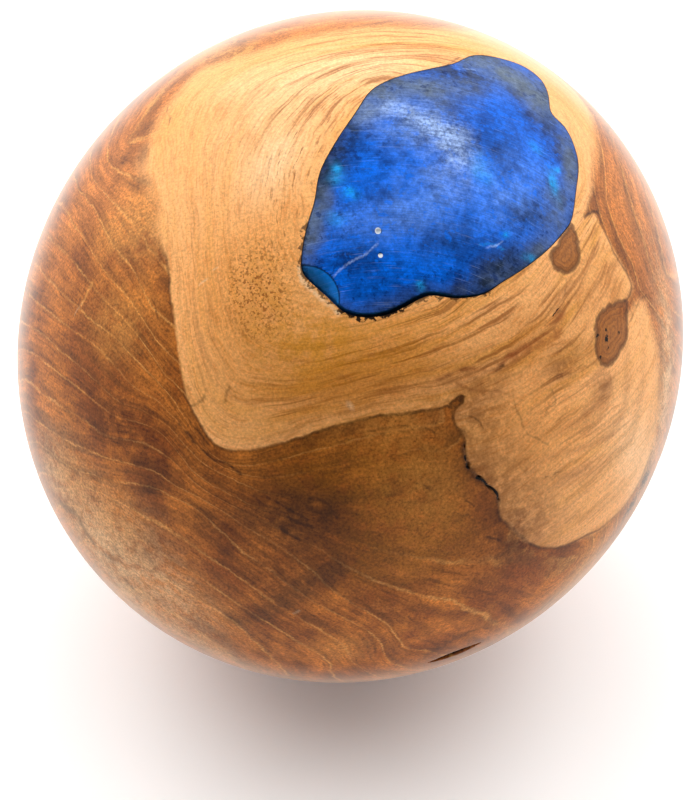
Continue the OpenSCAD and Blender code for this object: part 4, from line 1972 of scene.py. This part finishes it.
@dataclass(frozen=True)
class WoodenBall:
    """The turned ball with its hollow, voids and figure.

    Attributes:
        view: The camera that the figure's pixels belong to.
        mouth: The hollow.
        knot_deg: Azimuth, elevation and turn of the open knot.
        knot_size: Length, width and depth of the open knot.
        crack_depth: Depth of the crack.
        crack_width: Width of the crack.
        bark_deg: Azimuth, elevation and turn of the bark pocket.
        bark_length: Length of the bark pocket.
        bark_depth: Depth of the bark pocket.
        bark_rim: Outline of the bark pocket, in hundredths of its length.
        thin_mm: Width below which a streak takes a finer mesh.
        line_reach: How far beside a line the mesh is finer.
        spot_reach: How far beside the spots of the larger knot.
        void_reach: How far beside the open knot and the bark pocket.
        crack_reach: How far from its line the crack is looked for.
        crack_wave: Size and reach of the waves in the crack.
        waves: Size and reach of the waves that make the marks uneven.
    """

    view: PhotoView
    mouth: Mouth
    knot_deg: Triple = (19.0, -23.0, 17.0)
    knot_size: Triple = (0.008, 0.0026, 0.0018)
    crack_depth: float = 0.0006
    crack_width: float = 0.0004
    bark_deg: Triple = (67.0, -9.0, 58.0)
    bark_length: float = 0.009
    bark_depth: float = 0.0013
    bark_rim: Path = (
        (-50, 2), (-31, 12), (-18, 8), (-5, 20), (12, 15), (27, 22), (50, 4), (33, -6), (20, -17), (3, -9),
        (-12, -21), (-28, -8),
    )
    thin_mm: float = 0.9
    line_reach: float = 0.0004
    spot_reach: float = 0.0015
    void_reach: float = 0.0022
    crack_reach: float = 0.002
    crack_wave: tuple[float, float] = (0.0009, 0.0003)
    waves: tuple[tuple[float, float], ...] = ((0.0011, 0.00022), (0.0035, 0.0003))

    @property
    def blank(self) -> Spheroid:
        """The turned shape."""
        return self.view.blank

    def build(self, finish: RootWood) -> bpy.types.Object:
        """Makes and dresses the ball.

        Args:
            finish: Its finish.

        Returns:
            The ball.
        """
        shape = BlankMesh(self.blank).build(self._finer())
        ball = to_object("ball_visual", shape)
        ball = carved(ball, self.mouth.cutter(self.mouth.outline(), 0.0), "DIFFERENCE")
        points = rows_of(ball.data.vertices, "co")
        outer = np.abs(self.blank.depth(points)) < ON_SURFACE
        points[outer] = self._with_voids(points[outer])
        set_points(ball.data, points)
        self._figure(ball.data, points)
        finish_piece(ball, finish.material(), "wooden_ball")
        return ball

    def _finer(self) -> list[Refinement]:
        """Where the mesh is finer.

        Returns:
            The parts of the surface that take a finer mesh.
        """
        thin = [streak.path for streak in WOOD_STREAKS if streak.width_mm < self.thin_mm]
        parts = [Refinement(self.view.line(path), self.line_reach, 2) for path in (*thin, SEAM_PATH)]
        parts.append(Refinement(self.view.line(CRACK_PATH), self.line_reach, 3))
        parts.append(Refinement(self.view.line(KNOT_SPOTS), self.spot_reach, 2))
        for outline in KNOT_OUTLINES:
            parts.append(Refinement(self.view.line((*outline, outline[0])), 2 * self.line_reach, 2))
        for place in (self.knot_deg, self.bark_deg):
            parts.append(Refinement(self._across(place, self.bark_length * 0.55), self.void_reach, 2))
        return parts

    def _across(self, place: Triple, half: float) -> np.ndarray:
        """A short line on the surface through a void."""
        across, _, out = facing(*place)
        return self.blank.onto(out * self.blank.across + np.linspace(-half, half, 7)[:, None] * across)

    def _with_voids(self, points: np.ndarray) -> np.ndarray:
        """Sinks the crack, the open knot and the bark pocket into the surface.

        Args:
            points: Points of the surface.

        Returns:
            The points, sunk where the voids are.
        """
        sunk = np.maximum(self._knot_hole(points), self._bark_pocket(points))
        sunk = np.maximum(sunk, self._crack(points))
        return points * (1 - sunk / np.linalg.norm(points, axis=1))[:, None]

    def _knot_hole(self, points: np.ndarray) -> np.ndarray:
        """Depth of the open knot, which is shaped like an eye.

        Args:
            points: Points of the surface.

        Returns:
            One depth for each point.
        """
        length, width, deep = self.knot_size
        local = points @ facing(*self.knot_deg).T
        opening = 1 - (local[:, 0] / (length / 2)) ** 2
        across = local[:, 1] / np.maximum(opening * width / 2, 1e-6)
        inside = (local[:, 2] > 0) & (opening > 0)
        return np.where(inside, ramp(1 - np.abs(across), 0.0, 0.7) * deep, 0.0)

    def _crack(self, points: np.ndarray) -> np.ndarray:
        """Depth of the crack, which noise breaks up.

        Args:
            points: Points of the surface.

        Returns:
            One depth for each point.
        """
        path, sunk = self.view.line(CRACK_PATH), np.zeros(len(points))
        near = distance_to_path(points, path) < self.crack_reach
        spots = points[near]
        half = self.crack_width / 2 * (1 + 1.4 * noise_at(spots, 0.0013))
        away = distance_to_path(wavered(spots, self.crack_wave), path)
        gap = ramp(away / np.maximum(half, 1e-6), 1.0, 0.3)
        sunk[near] = self.crack_depth * (gap * (0.45 + 1.1 * noise_at(spots, 0.0011)).clip(0.1, 1.0))
        return sunk

    def _bark_pocket(self, points: np.ndarray) -> np.ndarray:
        """Depth of the bark pocket, which has a rough floor.

        Args:
            points: Points of the surface.

        Returns:
            One depth for each point.
        """
        local, sunk = points @ facing(*self.bark_deg).T, np.zeros(len(points))
        rim = np.array(self.bark_rim, float) * self.bark_length / 100
        inside = inside_outline(local[:, :2], rim) & (local[:, 2] > 0)
        edge = distance_to_path(local[inside][:, :2], looped(rim))
        rough = 0.7 + 0.6 * noise_at(points[inside], 0.0007)
        sunk[inside] = self.bark_depth * ramp(edge, 0.0, 0.0009) * rough
        return sunk

    def _figure(self, mesh: bpy.types.Mesh, points: np.ndarray) -> None:
        """Writes the wood's figure onto the mesh.

        Args:
            mesh: The ball's mesh.
            points: Its points.
        """
        view, surface = self.view, self.blank.onto(points)
        put_number(mesh, Field.RING, GrainField(GROWTH_LINES, view).at(surface))
        put_number(mesh, Field.ARC, GrainField(GOLDEN_ARCS, view).at(surface))
        put_number(mesh, Field.FLOW, GrainField(FIBRE_LINES, view, 1.0).at(surface))
        put_number(mesh, Field.SAP, self._sapwood(surface) / MM)
        put_number(mesh, Field.KNOT, self._knots(surface) / MM)
        put_number(mesh, Field.PIT, self.blank.depth(points) / MM)
        put_number(mesh, Field.RIM, -self.mouth.rim_distance(surface, self.mouth.outline()) / MM)
        uneven = wavered(surface, *self.waves)
        marks = (*WOOD_STREAKS, *WOOD_STAINS)
        for tint in dict.fromkeys(mark.tint for mark in marks):
            put_number(mesh, tint, combined(tint, marks, uneven, view))

    def _inside(self, surface: np.ndarray, edge: np.ndarray) -> np.ndarray:
        """Distance from a closed line on the ball, negative outside it.

        Args:
            surface: Points of the turned surface.
            edge: Corners of the line.

        Returns:
            One distance for each point.
        """
        away = distance_to_path(surface, looped(edge))
        return np.where(inside_outline(self.view.flat(surface), self.view.flat(edge)), away, -away)

    def _sapwood(self, surface: np.ndarray) -> np.ndarray:
        """Distance from the edge of the sapwood, negative outside it.

        Args:
            surface: Points of the turned surface.

        Returns:
            One distance for each point.
        """
        behind = self.blank.onto(np.array([unit_of(*place) for place in SAPWOOD_BEHIND_DEG]))
        edge = np.vstack([self.view.on_ball(SAPWOOD_EDGE), behind])
        return self._inside(surface, self.blank.onto(smooth_curve(edge, 3, closed=True)))

    def _knots(self, surface: np.ndarray) -> np.ndarray:
        """Distance from the nearest closed knot's outline, negative outside it.

        Args:
            surface: Points of the turned surface.

        Returns:
            One distance for each point.
        """
        curves = [smooth_curve(np.array(outline, float), 4, closed=True) for outline in KNOT_OUTLINES]
        return np.max([self._inside(surface, self.view.on_ball(curve)) for curve in curves], axis=0)


@dataclass(frozen=True)
class ResinInlay:
    """The cast resin, flush with the ball, with a chip and two burst bubbles.

    Attributes:
        view: The camera that the marks' pixels belong to.
        mouth: The hollow that it fills.
        chip_at: Middle of the chip, across and up, in hundredths of the mouth's width.
        chip_width: Width of the chip.
        chip_depth: Depth of the chip.
        chip_limit: Share of that depth past which a point isn't part of the chip.
        bubbles: Middle of each bubble, as for the chip, and its diameter.
        bubble_share: Depth of a bubble, as a share of half its diameter.
        lap_px: Middle of the arcs that the sanding lines follow.
        mesh_cuts: How fine the mesh is that it starts from.
        reach: How far from its middle the mesh is finer.
        bubble_reach: How far from the middle of a bubble the mesh is finest.
        waves: Size and reach of the waves that make the stains uneven.
    """

    view: PhotoView
    mouth: Mouth
    chip_at: Pixel = (-51.0, -6.0)
    chip_width: float = 0.0095
    chip_depth: float = 0.0012
    chip_limit: float = 1.2
    bubbles: tuple[Triple, ...] = ((-28.0, -3.0, 0.0008), (-31.0, -8.0, 0.0005))
    bubble_share: float = 0.6
    lap_px: Pixel = (385.0, 520.0)
    mesh_cuts: int = 71
    reach: float = 0.029
    bubble_reach: float = 0.0008
    waves: tuple[tuple[float, float], ...] = ((0.0012, 0.0004), (0.004, 0.001))

    def build(self, finish: BlueResin) -> bpy.types.Object:
        """Makes and dresses the inlay.

        Args:
            finish: Its finish.

        Returns:
            The inlay.
        """
        blank = self.mouth.blank
        parts = [Refinement.about(self.mouth.axes[2] * self.mouth.top, self.reach, 2)]
        for bubble in self.bubbles:
            parts.append(Refinement.about(self._place(bubble), self.bubble_reach, 4))
        inlay = to_object("resin_visual", BlankMesh(blank, self.mesh_cuts).build(parts))
        outline = self.mouth.drawn_in()
        inlay = carved(inlay, self.mouth.cutter(outline, self.mouth.bond_line), "INTERSECT")
        points = rows_of(inlay.data.vertices, "co")
        outer = np.abs(blank.depth(points)) < ON_SURFACE
        points[outer] = self._worn(points[outer])
        set_points(inlay.data, points)
        self._marks(inlay.data, points, outline)
        finish_piece(inlay, finish.material(), "resin_inlay")
        return inlay

    def _place(self, spot: Sequence[float]) -> np.ndarray:
        """Point of the surface over a place in the mouth.

        Args:
            spot: Across and up, in hundredths of the mouth's width.

        Returns:
            The point.
        """
        across, up = spot[0] * self.mouth.width / 100, spot[1] * self.mouth.width / 100
        out = math.sqrt(self.mouth.top**2 - across**2 - up**2)
        return self.mouth.blank.onto((self.mouth.axes.T @ np.array([across, up, out]))[None])[0]

    def _worn(self, points: np.ndarray) -> np.ndarray:
        """Sinks the chip and the bubbles into the surface.

        Args:
            points: Points of the surface.

        Returns:
            The points, sunk where the chip and the bubbles are.
        """
        radius = ((self.chip_width / 2) ** 2 + self.chip_depth**2) / (2 * self.chip_depth)
        spot = self._place(self.chip_at)
        out = spot / np.linalg.norm(spot)
        off = points - (spot + out * (radius - self.chip_depth))
        height = off @ out
        side = np.sum(off**2, axis=1) - height**2
        floor = -np.sqrt(np.maximum(radius**2 - side, 0.0))
        sunk = np.where(side < radius**2, np.maximum(height - floor, 0.0), 0.0)
        sunk = np.where(sunk < self.chip_depth * self.chip_limit, sunk, 0.0)
        worn = points - sunk[:, None] * out
        for bubble in self.bubbles:
            spot, half = self._place(bubble), bubble[2] / 2
            near = np.linalg.norm(points - spot, axis=1)
            deep = np.sqrt(np.maximum(half**2 - near**2, 0.0))
            worn -= self.bubble_share * deep[:, None] * spot / np.linalg.norm(spot)
        return worn

    def _marks(self, mesh: bpy.types.Mesh, points: np.ndarray, outline: np.ndarray) -> None:
        """Writes the resin's colours onto the mesh.

        Args:
            mesh: The inlay's mesh.
            points: Its points.
            outline: Its outline at the mouth.
        """
        surface = self.mouth.blank.onto(points)
        put_number(mesh, Field.RIM, self.mouth.rim_distance(surface, outline) / MM)
        put_number(mesh, Field.PIT, self.mouth.blank.depth(points) / MM)
        middle = self.view.on_ball([self.lap_px])[0]
        put_number(mesh, Field.LAP, np.linalg.norm(surface - middle, axis=1) / MM)
        uneven = wavered(surface, *self.waves)
        for tint in (Tint.CYAN, Tint.AZURE, Tint.HAZE, Tint.SLATE, Tint.DEEP, Tint.VIOLET, Tint.CRUMB):
            lines = combined(tint, RESIN_STREAKS, surface, self.view)
            spots = combined(tint, RESIN_STAINS, uneven, self.view)
            put_number(mesh, tint, 1 - (1 - lines) * (1 - spots))
        put_number(mesh, Tint.BUBBLE, combined(Tint.BUBBLE, RESIN_STAINS, surface, self.view))


@dataclass(frozen=True)
class Studio:
    """Floor, light and white surroundings.

    Attributes:
        floor_half: Half the width of the floor.
        key_from: Direction of the large soft light overhead.
        key_power: Its power in watts.
        side_from: Direction of the light on the right; the one on the left mirrors it.
        side_power: Power of each.
        lamp_distance: Distance of the lights.
        key_size: Width of the light overhead.
        side_size: Width of the lights at the sides.
        fill: Strength of the light from all round.
        front_from: Direction from which less light comes.
        front_share: Share of the light that comes from there.
        front_edge: How nearly a direction agrees with that one where the light starts and ends to fade.
    """

    floor_half: float = 2.0
    key_from: Triple = (-0.06, 0.14, 0.99)
    key_power: float = 4.75
    side_from: Triple = (0.65, 0.46, 0.6)
    side_power: float = 4.2
    lamp_distance: float = 0.9
    key_size: float = 1.37
    side_size: float = 0.8
    fill: float = 1.25
    front_from: Triple = (0.0, -0.85, 0.5)
    front_share: float = 0.02
    front_edge: tuple[float, float] = (0.06, 0.86)

    def build(self, floor_height: float, finish: PaleFloor) -> None:
        """Makes the floor, the light and the surroundings.

        Args:
            floor_height: Height of the floor.
            finish: Finish of the floor.
        """
        shape = bmesh.new()
        bmesh.ops.create_grid(shape, x_segments=1, y_segments=1, size=self.floor_half)
        bmesh.ops.translate(shape, vec=(0.0, 0.0, floor_height), verts=shape.verts[:])
        floor = to_object("floor", shape)
        floor.data.materials.append(finish.material())
        self._lamp("key", self.key_from, self.key_power, self.key_size)
        self._lamp("right", self.side_from, self.side_power, self.side_size)
        self._lamp("left", (-self.side_from[0], *self.side_from[1:]), self.side_power, self.side_size)
        self._surround()
        LOG.info("studio: floor at %.4f", floor_height)

    def _lamp(self, name: str, source: Triple, power: float, size: float) -> None:
        """Makes a soft light that faces the ball.

        Args:
            name: Its name.
            source: Direction that it comes from.
            power: Its power in watts.
            size: Its width.
        """
        data = bpy.data.lights.new(name, "AREA")
        data.shape, data.size, data.energy = "DISK", size, power
        lamp = bpy.data.objects.new(name, data)
        toward = Vector(source).normalized()
        lamp.location = toward * self.lamp_distance
        lamp.rotation_euler = toward.to_track_quat("Z", "Y").to_euler()
        bpy.context.scene.collection.objects.link(lamp)

    def _surround(self) -> None:
        """Makes the light from all round, weaker from the front."""
        world = bpy.data.worlds.new("surroundings")
        world.use_nodes = True
        pen = Pen(world.node_tree)
        ray = pen.node("ShaderNodeTexCoord").outputs["Generated"]
        front = tuple(Vector(self.front_from).normalized())
        agreement = pen.node("ShaderNodeVectorMath", {0: ray, 1: front}, operation="DOT_PRODUCT")
        background = world.node_tree.nodes["Background"]
        background.inputs["Color"].default_value = (1.0, 1.0, 1.0, 1.0)
        least = self.fill * self.front_share
        given = pen.step(agreement.outputs["Value"], *self.front_edge, self.fill, least)
        seen = pen.node("ShaderNodeLightPath").outputs["Is Camera Ray"]
        pen.feed(pen.math("MAXIMUM", given, seen), background.inputs["Strength"])
        bpy.context.scene.world = world


def main() -> None:
    """Builds the ball, the inlay and the studio in order."""
    logging.basicConfig(level=logging.INFO, format="%(message)s")
    view, mouth, effects = PhotoView(), Mouth(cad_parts["wooden_ball"]), SharedEffects()
    WoodenBall(view, mouth).build(RootWood(effects))
    ResinInlay(view, mouth).build(BlueResin(effects))
    Studio().build(CAD_BOX[0][2], PaleFloor())
    view.build()
    bpy.context.scene.view_settings.view_transform = "Standard"


if __name__ == "__main__":
    main()
